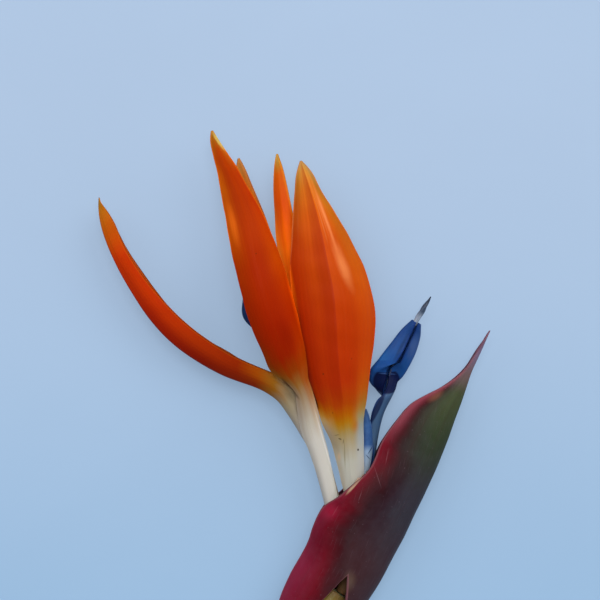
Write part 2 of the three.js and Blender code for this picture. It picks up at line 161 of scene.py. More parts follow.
# joins the outer and inner points with rounded rims and makes the object
def closedSheet(points, facts, name):
    top, bottom, beyond, forward, depth = points
    n, m = top.shape[:2]
    halfway = (top + bottom) / 2
    rims = [halfway[:, j] + beyond[:, j] * depth[:, j, None] * sheetShape["rimRound"] for j in (0, -1)]
    ends = [halfway[i] + forward[i] * depth[i][:, None] * sheetShape["endRound"] * sign
            for i, sign in ((0, -1), (-1, 1))]
    vertices = np.vstack([top.reshape(-1, 3), bottom.reshape(-1, 3), *rims, *ends])
    outer = np.arange(n * m).reshape(n, m)
    inner = outer + n * m
    rim = [2 * n * m + np.arange(n), 2 * n * m + n + np.arange(n)]
    cap = [2 * n * m + 2 * n + np.arange(m), 2 * n * m + 2 * n + m + np.arange(m)]
    faces = []

    def strip(a, b):  # quads between two rows of vertices, seen with a below b
        for k in range(len(a) - 1):
            faces.append((a[k], a[k + 1], b[k + 1], b[k]))

    for i in range(n - 1):
        strip(outer[i], outer[i + 1])
        strip(inner[i + 1], inner[i])
    for a, b in ((rim[0], outer[:, 0]), (inner[:, 0], rim[0]), (outer[:, -1], rim[1]), (rim[1], inner[:, -1]),
                 (cap[0], outer[0]), (inner[0], cap[0]), (outer[-1], cap[1]), (cap[1], inner[-1])):
        strip(a, b)
    for end, i in ((0, 0), (1, n - 1)):
        for side, j in ((0, 0), (1, m - 1)):
            for first in (outer[i, j], inner[i, j]):
                corner = (first, cap[end][j], rim[side][i])
                forwards = (end == side) == (first == outer[i, j])
                faces.append(corner if forwards else corner[::-1])
    # every vertex keeps the facts of the sheet point it belongs to
    spread = {}
    for key, values in facts.items():
        flat = values.reshape(-1)
        spread[key] = np.concatenate([flat, flat, values[:, 0], values[:, -1], values[0], values[-1]])
    spread["skin"] = np.concatenate([np.ones(n * m), np.zeros(n * m), np.full(2 * n + 2 * m, 0.5)])
    return makePiece(name, vertices, faces, spread)


storedFacts = {"part": ("across", "along", "skin"), "sheet": ("width", "length", "edge")}


# a mesh object in metres, with its facts in the attributes "part" and "sheet"
def makePiece(name, vertices, faces, facts):
    mesh = bpy.data.meshes.new(name)
    placed = (np.asarray(vertices) + middle) * mm
    mesh.from_pydata(placed.tolist(), [], [tuple(int(v) for v in face) for face in faces])
    mesh.validate()
    mesh.update()
    for attribute, keys in storedFacts.items():
        layer = mesh.attributes.new(attribute, "FLOAT_VECTOR", "POINT")
        values = np.stack([np.asarray(facts[key], float) for key in keys], -1)
        layer.data.foreach_set("vector", values.astype(np.float32).reshape(-1))
    mesh.polygons.foreach_set("use_smooth", [True] * len(mesh.polygons))
    piece = bpy.data.objects.new(name, mesh)
    bpy.context.scene.collection.objects.link(piece)
    return piece


# a smooth uneven field over across and along, about -1 to 1
def ripples(seed, waves=7, fineness=(1.0, 1.0)):
    dice = np.random.default_rng(seed)
    table = dice.normal(size=(waves, 2)) * np.array(fineness)
    phases = dice.uniform(0, 2 * math.pi, waves)

    def field(u, t):
        total = sum(np.sin(a * u + b * t + p) for (a, b), p in zip(table, phases))
        return total / math.sqrt(waves)

    return field


def bladeSheet(name, rows, thick, along, across, relief):
    half = np.linspace(0, 1, across + 1)
    s = np.concatenate([half[:0:-1], half])
    hand = np.concatenate([-np.ones(across), np.ones(across + 1)])
    shares = np.repeat(np.linspace(0, 1, along + 1)[:, None], len(s), axis=1)
    s = np.repeat(s[None], along + 1, axis=0)
    *points, facts = sheetPoints(curveThrough(rows), shares, s, hand[None], thick, relief)
    return closedSheet(points, facts, name)


def fill(tree, made, values):
    for key, value in values.items():
        if isinstance(value, bpy.types.NodeSocket):
            tree.links.new(value, made.inputs[key])
        else:
            made.inputs[key].default_value = value
    return made


def put(tree, kind, inputs, **settings):
    made = tree.nodes.new("ShaderNode" + kind)
    made.location = (240 * (len(tree.nodes) % 10), -280 * (len(tree.nodes) // 10))
    for key, value in settings.items():
        setattr(made, key, value)
    return fill(tree, made, inputs)


def calc(tree, operation, a, b=0.0, clamp=False):
    return put(tree, "Math", {0: a, 1: b}, operation=operation, use_clamp=clamp).outputs[0]


def times(tree, a, b):
    return calc(tree, "MULTIPLY", a, b)


def plus(tree, a, b):
    return calc(tree, "ADD", a, b)


def vectorCalc(tree, operation, a, b):
    return put(tree, "VectorMath", {0: a, 1: b}, operation=operation).outputs[0]


def scaled(tree, vector, factor):
    return put(tree, "VectorMath", {0: vector, 3: factor}, operation="SCALE").outputs[0]


def noiseAt(tree, vector, scale, detail, **more):
    values = {key.capitalize(): value for key, value in more.items()}
    return put(tree, "TexNoise", {"Vector": vector, "Scale": scale, "Detail": detail, **values}).outputs


# a smooth step of value from low to high
def between(tree, value, low, high, start=0.0, end=1.0):
    inputs = {"Value": value, "From Min": low, "From Max": high, "To Min": start, "To Max": end}
    return put(tree, "MapRange", inputs, interpolation_type="SMOOTHSTEP").outputs[0]


# several smooth steps multiplied together; each is (socket, low, high)
def stepped(tree, *steps):
    mask = between(tree, *steps[0])
    for step in steps[1:]:
        mask = times(tree, mask, between(tree, *step))
    return mask


# a linear colour from "#rrggbb"
def paint(colour):
    parts = [int(colour[i:i + 2], 16) / 255 for i in (1, 3, 5)]
    return tuple(c / 12.92 if c < 0.04045 else ((c + 0.055) / 1.055) ** 2.4 for c in parts) + (1.0,)


def mixed(tree, share, a, b):
    colours = {key: paint(value) if isinstance(value, str) else value for key, value in ((6, a), (7, b))}
    return put(tree, "Mix", {0: share, **colours}, data_type="RGBA").outputs[2]


# lays a shade over the colour where the mask is 1
def tinted(tree, colour, shade, mask, strength=1.0):
    return mixed(tree, times(tree, mask, strength), colour, shade)


def ramp(tree, value, stops):
    made = put(tree, "ValToRGB", {0: value})
    elements = made.color_ramp.elements
    while len(elements) < len(stops):
        elements.new(1.0)
    for element, (at, colour) in zip(elements, stops):
        element.position = at
        element.color = paint(colour)
    return made.outputs[0]


# across, along, skin, width, length and edge as sockets
def sheetFacts(tree):
    sockets = {}
    for attribute, keys in storedFacts.items():
        read = put(tree, "Attribute", {}, attribute_name=attribute)
        split = put(tree, "SeparateXYZ", {0: read.outputs["Vector"]})
        sockets.update(zip(keys, split.outputs))
    return sockets


def inMillimetres(tree):
    return scaled(tree, put(tree, "TexCoord", {}).outputs["Object"], 1000.0)


# a new shared effect; a number is a value input, three numbers are a vector input
def newGroup(name, inputs, outputs):
    tree = bpy.data.node_groups.new(name, "ShaderNodeTree")
    for label, default in inputs.items():
        kind = "Vector" if isinstance(default, tuple) else "Float"
        socket = tree.interface.new_socket(label, in_out="INPUT", socket_type="NodeSocket" + kind)
        socket.default_value = default
    for label in outputs:
        tree.interface.new_socket(label, in_out="OUTPUT", socket_type="NodeSocketFloat")
    start = tree.nodes.new("NodeGroupInput")
    end = tree.nodes.new("NodeGroupOutput")
    start.location, end.location = (-300, 0), (2600, 0)
    return tree, start.outputs, end.inputs


def useGroup(tree, group, **inputs):
    made = put(tree, "Group", {}, node_tree=group)
    return fill(tree, made, {key.capitalize(): value for key, value in inputs.items()}).outputs


def veinGroup():
    # parallel veins that run from base to tip and close up with the outline
    tree, given, out = newGroup(
        "lengthwiseVeins",
        {"Across": 0.0, "Length": 0.0, "Count": 12.0, "Waver": 0.03},
        ["Streaks", "Height"],
    )
    x = times(tree, given["Across"], given["Count"])
    y = times(tree, given["Length"], given["Waver"])
    spot = put(tree, "CombineXYZ", {0: x, 1: y}).outputs[0]
    broad = noiseAt(tree, spot, 0.45, 3.0, roughness=0.6)[0]
    fine = noiseAt(tree, spot, 1.7, 2.0, roughness=0.5)[0]
    phase = plus(tree, times(tree, x, 2 * math.pi), times(tree, broad, 5.0))
    ridge = times(tree, plus(tree, calc(tree, "SINE", phase), 1.0), 0.5)
    tree.links.new(broad, out["Streaks"])
    tree.links.new(plus(tree, times(tree, ridge, 0.6), times(tree, fine, 0.4)), out["Height"])
    return tree


def blotchGroup():
    # soft uneven colour, as in living tissue
    tree, given, out = newGroup("softBlotches", {"Vector": (0, 0, 0), "Size": 8.0}, ["Value"])
    spot = scaled(tree, given["Vector"], calc(tree, "DIVIDE", 1.0, given["Size"]))
    noise = noiseAt(tree, spot, 1.0, 4.0, roughness=0.55, distortion=0.4)[0]
    tree.links.new(between(tree, noise, 0.3, 0.7), out["Value"])
    return tree


def fleckGroup():
    # small round flecks of uneven size
    tree, given, out = newGroup(
        "flecks",
        {"Vector": (0, 0, 0), "Spacing": 2.0, "Amount": 0.4, "Radius": 0.18},
        ["Mask"],
    )
    spot = scaled(tree, given["Vector"], calc(tree, "DIVIDE", 1.0, given["Spacing"]))
    cells = put(tree, "TexVoronoi", {"Vector": spot, "Scale": 1.0, "Randomness": 1.0})
    chosen = put(tree, "SeparateColor", {0: cells.outputs["Color"]}).outputs
    size = times(tree, given["Radius"], plus(tree, 0.4, chosen[1]))
    dot = calc(tree, "SUBTRACT", 1.0, calc(tree, "DIVIDE", cells.outputs["Distance"], size), clamp=True)
    kept = calc(tree, "LESS_THAN", chosen[0], given["Amount"])
    tree.links.new(times(tree, between(tree, dot, 0.0, 0.6), kept), out["Mask"])
    return tree


def rubGroup():
    # short thin lines along the sheet, where it rubbed against leaves
    tree, given, out = newGroup(
        "rubMarks",
        {"Width": 0.0, "Length": 0.0, "Spacing": 3.0, "Stretch": 7.0, "Lean": 0.0, "Amount": 0.3},
        ["Mask"],
    )
    leaned = plus(tree, given["Width"], times(tree, given["Length"], given["Lean"]))
    x = calc(tree, "DIVIDE", leaned, given["Spacing"])
    y = calc(tree, "DIVIDE", given["Length"], times(tree, given["Spacing"], given["Stretch"]))
    spot = put(tree, "CombineXYZ", {0: x, 1: y}).outputs[0]
    wander = noiseAt(tree, spot, 0.9, 2.0)["Color"]
    pushed = put(tree, "MixRGB", {0: 0.22, 1: spot, 2: wander}, blend_type="ADD").outputs[0]
    cells = put(tree, "TexVoronoi", {"Vector": pushed, "Scale": 1.0}, feature="F1")
    chosen = put(tree, "SeparateColor", {0: cells.outputs["Color"]}).outputs
    fromMiddle = vectorCalc(tree, "SUBTRACT", pushed, cells.outputs["Position"])
    offset = put(tree, "SeparateXYZ", {0: fromMiddle}).outputs
    thin = between(tree, calc(tree, "ABSOLUTE", offset[0]), 0.05, 0.0)
    short = between(tree, calc(tree, "ABSOLUTE", offset[1]), 0.42, 0.15)
    kept = calc(tree, "LESS_THAN", chosen[0], given["Amount"])
    tree.links.new(times(tree, times(tree, thin, short), kept), out["Mask"])
    return tree


def patchGroup():
    # one soft oval at a place on the object, with an uneven outline
    tree, given, out = newGroup(
        "softPatch",
        {"Vector": (0, 0, 0), "Centre": (0, 0, 0), "Radii": (10, 10, 10), "Turn": 0.0, "Ragged": 0.3,
         "Soft": 0.6},
        ["Mask"],
    )
    away = vectorCalc(tree, "SUBTRACT", given["Vector"], given["Centre"])
    turned = put(tree, "VectorRotate", {"Vector": away, "Angle": given["Turn"]}, rotation_type="Z_AXIS")
    inRadii = vectorCalc(tree, "DIVIDE", turned.outputs[0], given["Radii"])
    reach = put(tree, "VectorMath", {0: inRadii}, operation="LENGTH").outputs["Value"]
    noise = noiseAt(tree, given["Vector"], 0.16, 3.0)[0]
    wobble = times(tree, calc(tree, "SUBTRACT", noise, 0.5), given["Ragged"])
    inner = calc(tree, "SUBTRACT", 1.0, given["Soft"])
    tree.links.new(between(tree, plus(tree, reach, wobble), 1.0, inner), out["Mask"])
    return tree


def skinGroup():
    # the fine cell relief that softens a petal's gloss
    tree, given, out = newGroup("cellSkin", {"Vector": (0, 0, 0), "Cell": 0.25}, ["Height", "Gloss"])
    spot = scaled(tree, given["Vector"], calc(tree, "DIVIDE", 1.0, given["Cell"]))
    cells = put(tree, "TexVoronoi", {"Vector": spot, "Scale": 1.0}, feature="SMOOTH_F1")
    tree.links.new(calc(tree, "SUBTRACT", 1.0, cells.outputs["Distance"]), out["Height"])
    broad = noiseAt(tree, given["Vector"], 0.35, 3.0)[0]
    tree.links.new(between(tree, broad, 0.25, 0.75), out["Gloss"])
    return tree


veins = veinGroup()
blotches = blotchGroup()
flecks = fleckGroup()
rubMarks = rubGroup()
softPatch = patchGroup()
cellSkin = skinGroup()
print("shared effects ready")

fleshLight = {
    "depth": 0.001,  # how far light travels in the flesh, metres
    "spread": (1.0, 0.45, 0.2),
}


def newFinish(name, roughness=0.45, coat=0.0, coatRoughness=0.3, flesh=0.0, shine=0.4):
    material = bpy.data.materials.new(name)
    material.use_nodes = True
    tree = material.node_tree
    tree.nodes.clear()
    shader = put(tree, "BsdfPrincipled", {
        "Roughness": roughness,
        "Coat Weight": coat,
        "Coat Roughness": coatRoughness,
        "Specular IOR Level": shine,
        "Subsurface Weight": flesh,
        "Subsurface Scale": fleshLight["depth"],
        "Subsurface Radius": fleshLight["spread"],
    })
    end = put(tree, "OutputMaterial", {"Surface": shader.outputs[0]})
    shader.location, end.location = (2700, 0), (3000, 0)
    return material, tree, shader


# what an organ's finish starts from: facts of the sheet, the spot in millimetres, veins and mottle
def organFinish(name, veinCount, veinWaver, mottleSize, **settings):
    material, tree, shader = newFinish(name, **settings)
    facts = sheetFacts(tree)
    spot = inMillimetres(tree)
    vein = useGroup(tree, veins, across=facts["across"], length=facts["length"], count=veinCount,
                    waver=veinWaver)
    mottle = useGroup(tree, blotches, vector=spot, size=mottleSize)["Value"]
    return material, tree, shader, facts, spot, vein, mottle


def fleckMask(tree, spot, spacing, amount, radius):
    return useGroup(tree, flecks, vector=spot, spacing=spacing, amount=amount, radius=radius)["Mask"]


def rubMask(tree, facts, spacing, stretch, lean, amount):
    return useGroup(tree, rubMarks, width=facts["width"], length=facts["length"], spacing=spacing,
                    stretch=stretch, lean=lean, amount=amount)["Mask"]


# how far a spot is on the inner face, 0 to 1
def insideMask(tree, facts):
    return between(tree, facts["skin"], 0.5, 0.0)


# streaks along the veins: a shade, the vein values from and to, and a strength
def streaked(tree, colour, vein, streaks):
    shade, low, high, strength = streaks
    return tinted(tree, colour, shade, between(tree, vein["Streaks"], low, high), strength)


# a shade along the edge: the shade, the edge values from and to, and a strength
def edged(tree, colour, facts, margin):
    shade, low, high, strength = margin
    return tinted(tree, colour, shade, between(tree, facts["edge"], low, high), strength)


# a roughness that goes from low to high with the mask
def dulled(tree, mask, low, high):
    return between(tree, mask, 0.0, 1.0, low, high)


# colour, roughness and stacked bumps into the shader; heights are (socket, millimetres)
def connect(tree, shader, colour, roughness=None, heights=()):
    tree.links.new(colour, shader.inputs["Base Color"])
    if roughness is not None:
        tree.links.new(roughness, shader.inputs["Roughness"])
    below = None
    for height, depth in heights:
        bump = put(tree, "Bump", {"Height": height, "Distance": depth * mm, "Strength": 1.0})
        if below is not None:
            tree.links.new(below, bump.inputs["Normal"])
        below = bump.outputs[0]
    if below is not None:
        tree.links.new(below, shader.inputs["Normal"])


# puts a finished piece in its CAD node's place
def place(piece, node, slot, *materials):
    for material in materials:
        piece.data.materials.append(material)
    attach(piece, "root")
    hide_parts(node)
    low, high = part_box(node)
    corners = np.array([piece.matrix_world @ v.co for v in piece.data.vertices])
    drift = max(np.abs(corners.min(0) - np.array(low)).max(), np.abs(corners.max(0) - np.array(high)).max())
    print(f"  {piece.name}: {len(piece.data.polygons)} faces, {drift / mm:.2f} mm off its CAD box")


patchDepth = 14.0


# one soft oval of another colour; its radii are across, along and, where given, deep;
# patches in the dictionaries below are lists of these values from "at" on
def addPatch(tree, spot, colour, at, radii, turn, share, shade, ragged=0.3, soft=0.95):
    oval = useGroup(tree, softPatch, vector=spot, centre=tuple(np.array(at) + middle),
                    radii=(*radii, patchDepth)[:3], turn=math.radians(turn), ragged=ragged, soft=soft)
    return tinted(tree, colour, shade, oval["Mask"], share)


sepalFlesh = {
    "thick": (1.0, 0.7),
    "along": 170,
    "across": 24,
    "keelWidth": 0.07,
    "keelEnds": (8, 9),  # how fast the midrib's ridge rises and dies away
    "uneven": 0.12,
    "unevenFineness": (3.2, 26),
    "wave": 0.16,  # how much the margin waves
    "waveFineness": (0.6, 34),
    "fullReliefFrom": 6.0,  # half width
    "leastRelief": 0.15,
    "grooveRise": 12,  # how fast a groove starts
    "veins": (8.0, 0.012),  # how many across the half width, and how they waver
    "veinDepth": 0.035,
    "mottleSize": 16.0,
    "mottleShare": 0.18,
    "deepStreaks": (0.45, 0.75, 0.3),  # vein values from and to, strength
    "lightStreaks": (0.42, 0.2, 0.22),
    "lineEnds": (10.0, 8.0),  # how softly a line starts and ends, millimetres
    "foldShadeAcross": (-0.5, -0.03),
    "foldEdge": (0.012, -0.012),
    "rim": (0.9, 0.1),  # millimetres from the edge
    "insideColour": "#c86410",  # the inner face is yellower
    "insideShare": 0.3,
    "scars": (3.4, 0.04, 0.11),  # spacing, amount, radius
    "scarColour": "#4a2408",
    "scarShare": 0.6,
    "glow": 0.25,  # stands for light that comes through
    "cell": 0.3,
    "cellDepth": 0.01,
    "roughness": 0.34,
    "glossChange": 0.1,
}
usualSepal = {  # what holds unless a sepal's own dictionary says otherwise
    "shine": 0.05,
    "toLeft": (-0.1, -0.85),
    "toRight": (0.1, 0.85),
    "paintedFoldShade": 0.0,
    "lines": (),
    "rimShare": 0.4,
    "patches": (),
    "lit": None,
    "keel": 0.04,
    "grooves": (),
}


def sepalRelief(seed, keel, grooves):
    flesh = sepalFlesh
    rough = ripples(seed, fineness=flesh["unevenFineness"])
    edgeWave = ripples(seed + 50, fineness=flesh["waveFineness"])
    rise, fall = flesh["keelEnds"]

    def relief(across, along, half):
        size = np.clip(half / flesh["fullReliefFrom"], flesh["leastRelief"], 1.0)
        ridge = keel * np.exp(-(across / flesh["keelWidth"]) ** 2)
        ridge = ridge * eased(along * rise) * eased((1 - along) * fall)
        bumps = flesh["uneven"] * rough(across, along)
        margin = flesh["wave"] * edgeWave(across, along) * np.abs(across) ** 4
        lines = 0.0
        for at, width, height, start in grooves:
            cut = eased((along - start) * flesh["grooveRise"])
            lines = lines + height * np.exp(-((across - at) / width) ** 2) * cut
        return (ridge + bumps + margin + lines) * size

    return relief


# white claw, yellow band, orange blade and a yellow-green tip
def sepalFinish(name, look):
    flesh = sepalFlesh
    material, tree, shader, facts, spot, vein, mottle = organFinish(
        name, *flesh["veins"], flesh["mottleSize"], roughness=0.42, flesh=0.04, shine=look["shine"])
    across, length = facts["across"], facts["length"]
    # the colours follow the length, a little uneven, and run further down in the middle
    uneven = times(tree, calc(tree, "SUBTRACT", vein["Streaks"], 0.5), look["ragged"])
    dip = times(tree, times(tree, across, across), look["dip"])
    reach = plus(tree, plus(tree, length, uneven), dip)
    share = calc(tree, "DIVIDE", reach, look["length"])
    sides = {}
    for key in ("left", "middle", "right"):
        stops = look.get(key, look["middle"])
        sides[key] = ramp(tree, share, [(at / look["length"], shade) for at, shade in stops])
    # the sides differ partly in the sepal's own colour and partly in painted light and shade, as the light
    # falls on each side
    colour = tinted(tree, sides["middle"], sides["left"], between(tree, across, *look["toLeft"]))
    colour = tinted(tree, colour, sides["right"], between(tree, across, *look["toRight"]))
    # faint streaks of deeper and lighter orange, on the blade only
    blade = between(tree, reach, *look["blade"])
    for shade, (low, high, strength) in (("deep", flesh["deepStreaks"]), ("light", flesh["lightStreaks"])):
        streaks = times(tree, between(tree, vein["Streaks"], low, high), blade)
        colour = tinted(tree, colour, look[shade], streaks, strength)
    colour = tinted(tree, colour, look["deep"], times(tree, mottle, blade), flesh["mottleShare"])
    # painted shade: the left side of the fold is darkened, with a clean edge on the midrib
    fold = stepped(tree, (across, *flesh["foldShadeAcross"]), (across, *flesh["foldEdge"]))
    colour = tinted(tree, colour, look["deep"], times(tree, fold, blade), look["paintedFoldShade"])
    # painted highlights: light lines along the ridges beside the midrib, where they catch the light
    rise, fall = flesh["lineEnds"]
    for at, width, low, high, strength in look["lines"]:
        away = calc(tree, "ABSOLUTE", calc(tree, "SUBTRACT", across, at))
        line = stepped(tree, (away, width, 0.0), (length, low, low + rise), (length, high, high - fall))
        colour = tinted(tree, colour, look["light"], line, strength)
    # paler margin on the blade
    rim = stepped(tree, (facts["edge"], *flesh["rim"]), (length, *look.get("rimFrom", look["blade"])))
    colour = tinted(tree, colour, look["light"], rim, look["rimShare"])
    inside = times(tree, insideMask(tree, facts), blade)
    colour = tinted(tree, colour, flesh["insideColour"], inside, flesh["insideShare"])
    scars = fleckMask(tree, spot, *flesh["scars"])
    colour = tinted(tree, colour, flesh["scarColour"], scars, flesh["scarShare"])
    for patch in look["patches"]:
        colour = addPatch(tree, spot, colour, *patch)
    # painted light: below the given lengths the sepal glows, lifting it out of the shade between its
    # neighbours
    if look["lit"]:
        glowing = between(tree, length, *look["lit"])
        tree.links.new(mixed(tree, glowing, "#000000", colour), shader.inputs["Emission Color"])
        shader.inputs["Emission Strength"].default_value = flesh["glow"]
    cells = useGroup(tree, cellSkin, vector=spot, cell=flesh["cell"])
    gloss = plus(tree, times(tree, cells["Gloss"], flesh["glossChange"]), flesh["roughness"])
    connect(tree, shader, colour, gloss,
            [(vein["Height"], flesh["veinDepth"]), (cells["Height"], flesh["cellDepth"])])
    return material


olderNear = {
    "rows": [
        [14.0, -80, 14.9, 3.4, 3.3, 0, 0, 64], [12.2, -75, 15.0, 3.4, 3.3, 0, 0, 64],
        [10.3, -68, 15.1, 3.4, 3.3, 0, 0, 64], [8.3, -60, 15.5, 3.7, 3.5, 0, 0, 64],
        [6.4, -53, 16.0, 4.3, 4.0, 0, 0, 60], [4.4, -47, 16.8, 4.6, 4.3, 0, 0, 54],
        [3.1, -41, 17.7, 4.3, 4.0, 0, 0, 48], [1.7, -36, 18.7, 3.4, 4.1, 0, 0, 46],
        [0.6, -33, 19.5, 2.6, 4.4, 0, 0, 46], [-0.9, -30, 20.4, 3.3, 5.0, 0, 0, 46],
        [-2.4, -26.8, 21.5, 5.7, 6.5, 0, 0, 46], [-3.9, -23.4, 22.6, 7.7, 7.9, 0, 1, 46],
        [-5.6, -19, 24.0, 8.0, 9.2, 3, 2, 46], [-9.2, -8, 26.2, 8.9, 10.9, 8, 4, 44],
        [-12.8, 4.4, 27.17, 8.8, 11.0, 9, 5, 42], [-15.0, 12.4, 27.0, 8.6, 10.4, 8, 5, 40],
        [-16.8, 20, 26.6, 8.5, 9.3, 6, 6, 38],
        [-19.8, 31, 24.4, 7.9, 7.2, 3, 8, 36], [-23.2, 40.4, 21.2, 6.6, 5.1, 0, 12, 34],
        [-25.8, 46.4, 18.6, 4.6, 4.0, 0, 12, 30], [-28.6, 52, 16.2, 2.9, 2.9, 0, 10, 26],
        [-30.8, 57.4, 14.0, 1.7, 1.6, 0, 8, 20], [-31.7, 60.9, 12.6, 0.3, 0.3, 0, 0, 0],
    ],
    "length": 152.0,
    "shine": 0.02,
    "left": [
        (0, "#a8a39c"), (30, "#b4aca0"), (40, "#9c8c7a"), (50, "#866a4c"), (55, "#744814"), (60, "#7c2c02"),
        (70, "#8a2001"), (84, "#922201"), (96, "#9e2e01"), (106, "#b04402"), (118, "#ba4e04"),
        (128, "#be5404"), (140, "#a83c02"), (147, "#9a5c0c"), (152, "#7c7020"),
    ],
    "middle": [
        (0, "#bcb8b0"), (30, "#c0bab0"), (38, "#b0a696"), (46, "#988064"), (52, "#8a5c28"), (57, "#863404"),
        (64, "#8a1c00"), (76, "#931c00"), (86, "#9e2400"), (98, "#a22801"), (108, "#a83001"),
        (120, "#a43202"), (134, "#a23001"), (144, "#a83c01"), (149, "#a06010"), (152, "#7c7020"),
    ],
    "right": [
        (0, "#c4c2b8"), (30, "#c6c2b8"), (39, "#b49c80"), (45, "#a06c3c"), (50, "#9a4a14"), (58, "#9a3602"),
        (66, "#a83000"), (76, "#a82800"), (86, "#b43200"), (98, "#bc4201"), (108, "#b83a01"),
        (120, "#b03001"), (132, "#ae3402"), (142, "#b85c10"), (147, "#b89034"), (152, "#a89440"),
    ],
    "blade": (58, 66),
    "deep": "#911a01",
    "light": "#f57c10",
    "ragged": 7.0,
    "dip": -3.0,
    "rimFrom": (100, 114),
    "patches": [
        # painted light along the right margin, which curls down into shade
        ((-3.0, 5.0, 24.0), (1.7, 27.0), -13, 0.8, "#ff5c00", 0.15),
        # painted highlight along the left side
        ((-23.8, 27.0, 24.0), (2.0, 12.0), -14, 0.6, "#e86814"),
        # deeper red low in the middle: partly the sepal's own red, partly painted shade
        ((-4.6, -13.0, 25.0), (4.2, 9.0), -20, 0.4, "#7e1000"),
        ((-29.2, 57.0, 14.0), (0.9, 5.4), -35, 0.8, "#c8ac58", 0.1, 0.7),
        # painted light: a thin near-white streak along the claw's right edge beside the gap
        ((8.9, -52.0, 15.0), (0.45, 17.0), -16, 0.5, "#ece8e4", 0.1, 0.8),
        # a dark line in the seam with the left sepal: painted shade
        ((-3.6, -31.4, 15.0), (0.8, 6.4), -40, 0.85, "#3c2410", 0.2, 0.6),
    ],
}
olderLeft = {
    "rows": [
        [11.3, -80.7, 10.8, 2.7, 2.4, -112, 0, 50, 18], [9.6, -75.7, 10.9, 2.7, 2.4, -112, 0, 50, 18],
        [7.8, -68.6, 10.9, 2.8, 2.5, -112, 0, 50, 18], [5.4, -60.4, 11.2, 3.0, 2.9, -106, 0, 54, 16],
        [3.0, -53.6, 11.4, 3.3, 3.6, -98, 0, 60, 12], [0.2, -48.6, 11.4, 3.8, 4.4, -88, 0, 66, 6],
        [-3.5, -42.6, 11.3, 4.8, 6.8, -84, 4, 86], [-8.0, -36.6, 11.4, 6.2, 9.8, -82, 12, 84],
        [-11.2, -34.2, 11.4, 6.8, 9.9, -83, 21, 68], [-14.8, -32.2, 11.3, 7.4, 8.8, -84, 32, 50],
        [-28.8, -26.6, 11.2, 9.7, 9.8, -90, 48, 26], [-43.2, -18.0, 11.0, 9.5, 10.2, -88, 52, 22],
        [-53.6, -7.5, 10.8, 9.4, 9.4, -88, 52, 22], [-62.1, 4.7, 10.6, 8.7, 7.8, -86, 52, 22],
        [-68.2, 17.0, 10.2, 7.0, 6.1, -84, 50, 22], [-71.8, 26.9, 9.6, 5.9, 5.5, -82, 48, 20],
        [-72.8, 33.0, 9.0, 3.2, 2.8, -80, 40, 16], [-72.8, 36.9, 8.6, 0.3, 0.3, -80, 0, 0],
    ],
    "length": 152.4,
    "left": [
        (0, "#9c8f86"), (36, "#94877c"), (46, "#8c7c64"), (53, "#865415"), (60, "#752301"), (80, "#6c0e00"),
        (110, "#851801"), (135, "#982c01"), (146, "#905405"), (152.4, "#686018"),
    ],
    "middle": [
        (0, "#a89a90"), (36, "#9c9084"), (45, "#948468"), (52, "#8a520c"), (58, "#7e2301"), (80, "#7e1300"),
        (105, "#9a1c01"), (130, "#b73101"), (142, "#bc5c06"), (148, "#b86c0c"), (152.4, "#8c7c20"),
    ],
    "right": [
        (0, "#aea49a"), (36, "#a89c8e"), (46, "#a08e6c"), (52, "#9b6215"), (58, "#ab4c02"), (66, "#982801"),
        (84, "#aa2e01"), (105, "#c03101"), (128, "#c83501"), (142, "#c45c06"), (148, "#c0700c"),
        (152.4, "#948020"),
    ],
    "toRight": (0.15, 0.75),
    "blade": (54, 64),
    "deep": "#831701",
    "light": "#ef7c10",
    "ragged": 7.0,
    "dip": -2.0,
    "rimShare": 0.2,
    "patches": [
        # these two ovals are painted shade beside the seam, under the near sepal's margin
        ((-3.6, -34.0, 12.0), (2.6, 5.4), -42, 0.5, "#5c4630"),
        ((-0.4, -40.0, 12.0), (1.6, 6.0), -18, 0.4, "#6c5a48"),
    ],
}
olderFar = {
    "rows": [
        [16.4, -80, 10.4, 2.8, 2.8, 120, 0, 54], [14.8, -75, 10.4, 2.8, 2.8, 120, 0, 54],
        [13.0, -68, 10.4, 2.8, 2.8, 120, 0, 54], [10.8, -60, 10.0, 3.0, 3.0, 122, 0, 54],
        [7.2, -49, 9.0, 3.4, 3.4, 130, 0, 52], [4.4, -40, 7.4, 4.0, 4.0, 145, 0, 50],
        [0.6, -29, 4.8, 4.8, 5.6, 160, 0, 46], [-3.6, -16, 2.0, 5.2, 7.0, 168, 0, 42],
        [-8.2, 0, 0.3, 5.9, 7.4, 175, 3, 38], [-12.6, 17, 0.8, 5.0, 6.6, 178, 6, 34],
        [-16.8, 32, 3.0, 3.6, 4.7, 180, 8, 30], [-19.8, 41, 5.0, 2.7, 3.1, 180, 8, 26],
        [-21.3, 46.6, 6.4, 1.9, 2.1, 180, 8, 20], [-22.2, 51.2, 7.4, 0.3, 0.3, 180, 0, 0],
    ],
    "length": 138.3,
    "middle": [
        (0, "#a89a90"), (44, "#a09070"), (58, "#c75d07"), (90, "#d24904"), (120, "#e97a14"),
        (138.3, "#a98a47"),
    ],
    "blade": (52, 64),
    "deep": "#a83302",
    "light": "#d8905c",
    "ragged": 8.0,
    "dip": -2.0,
}
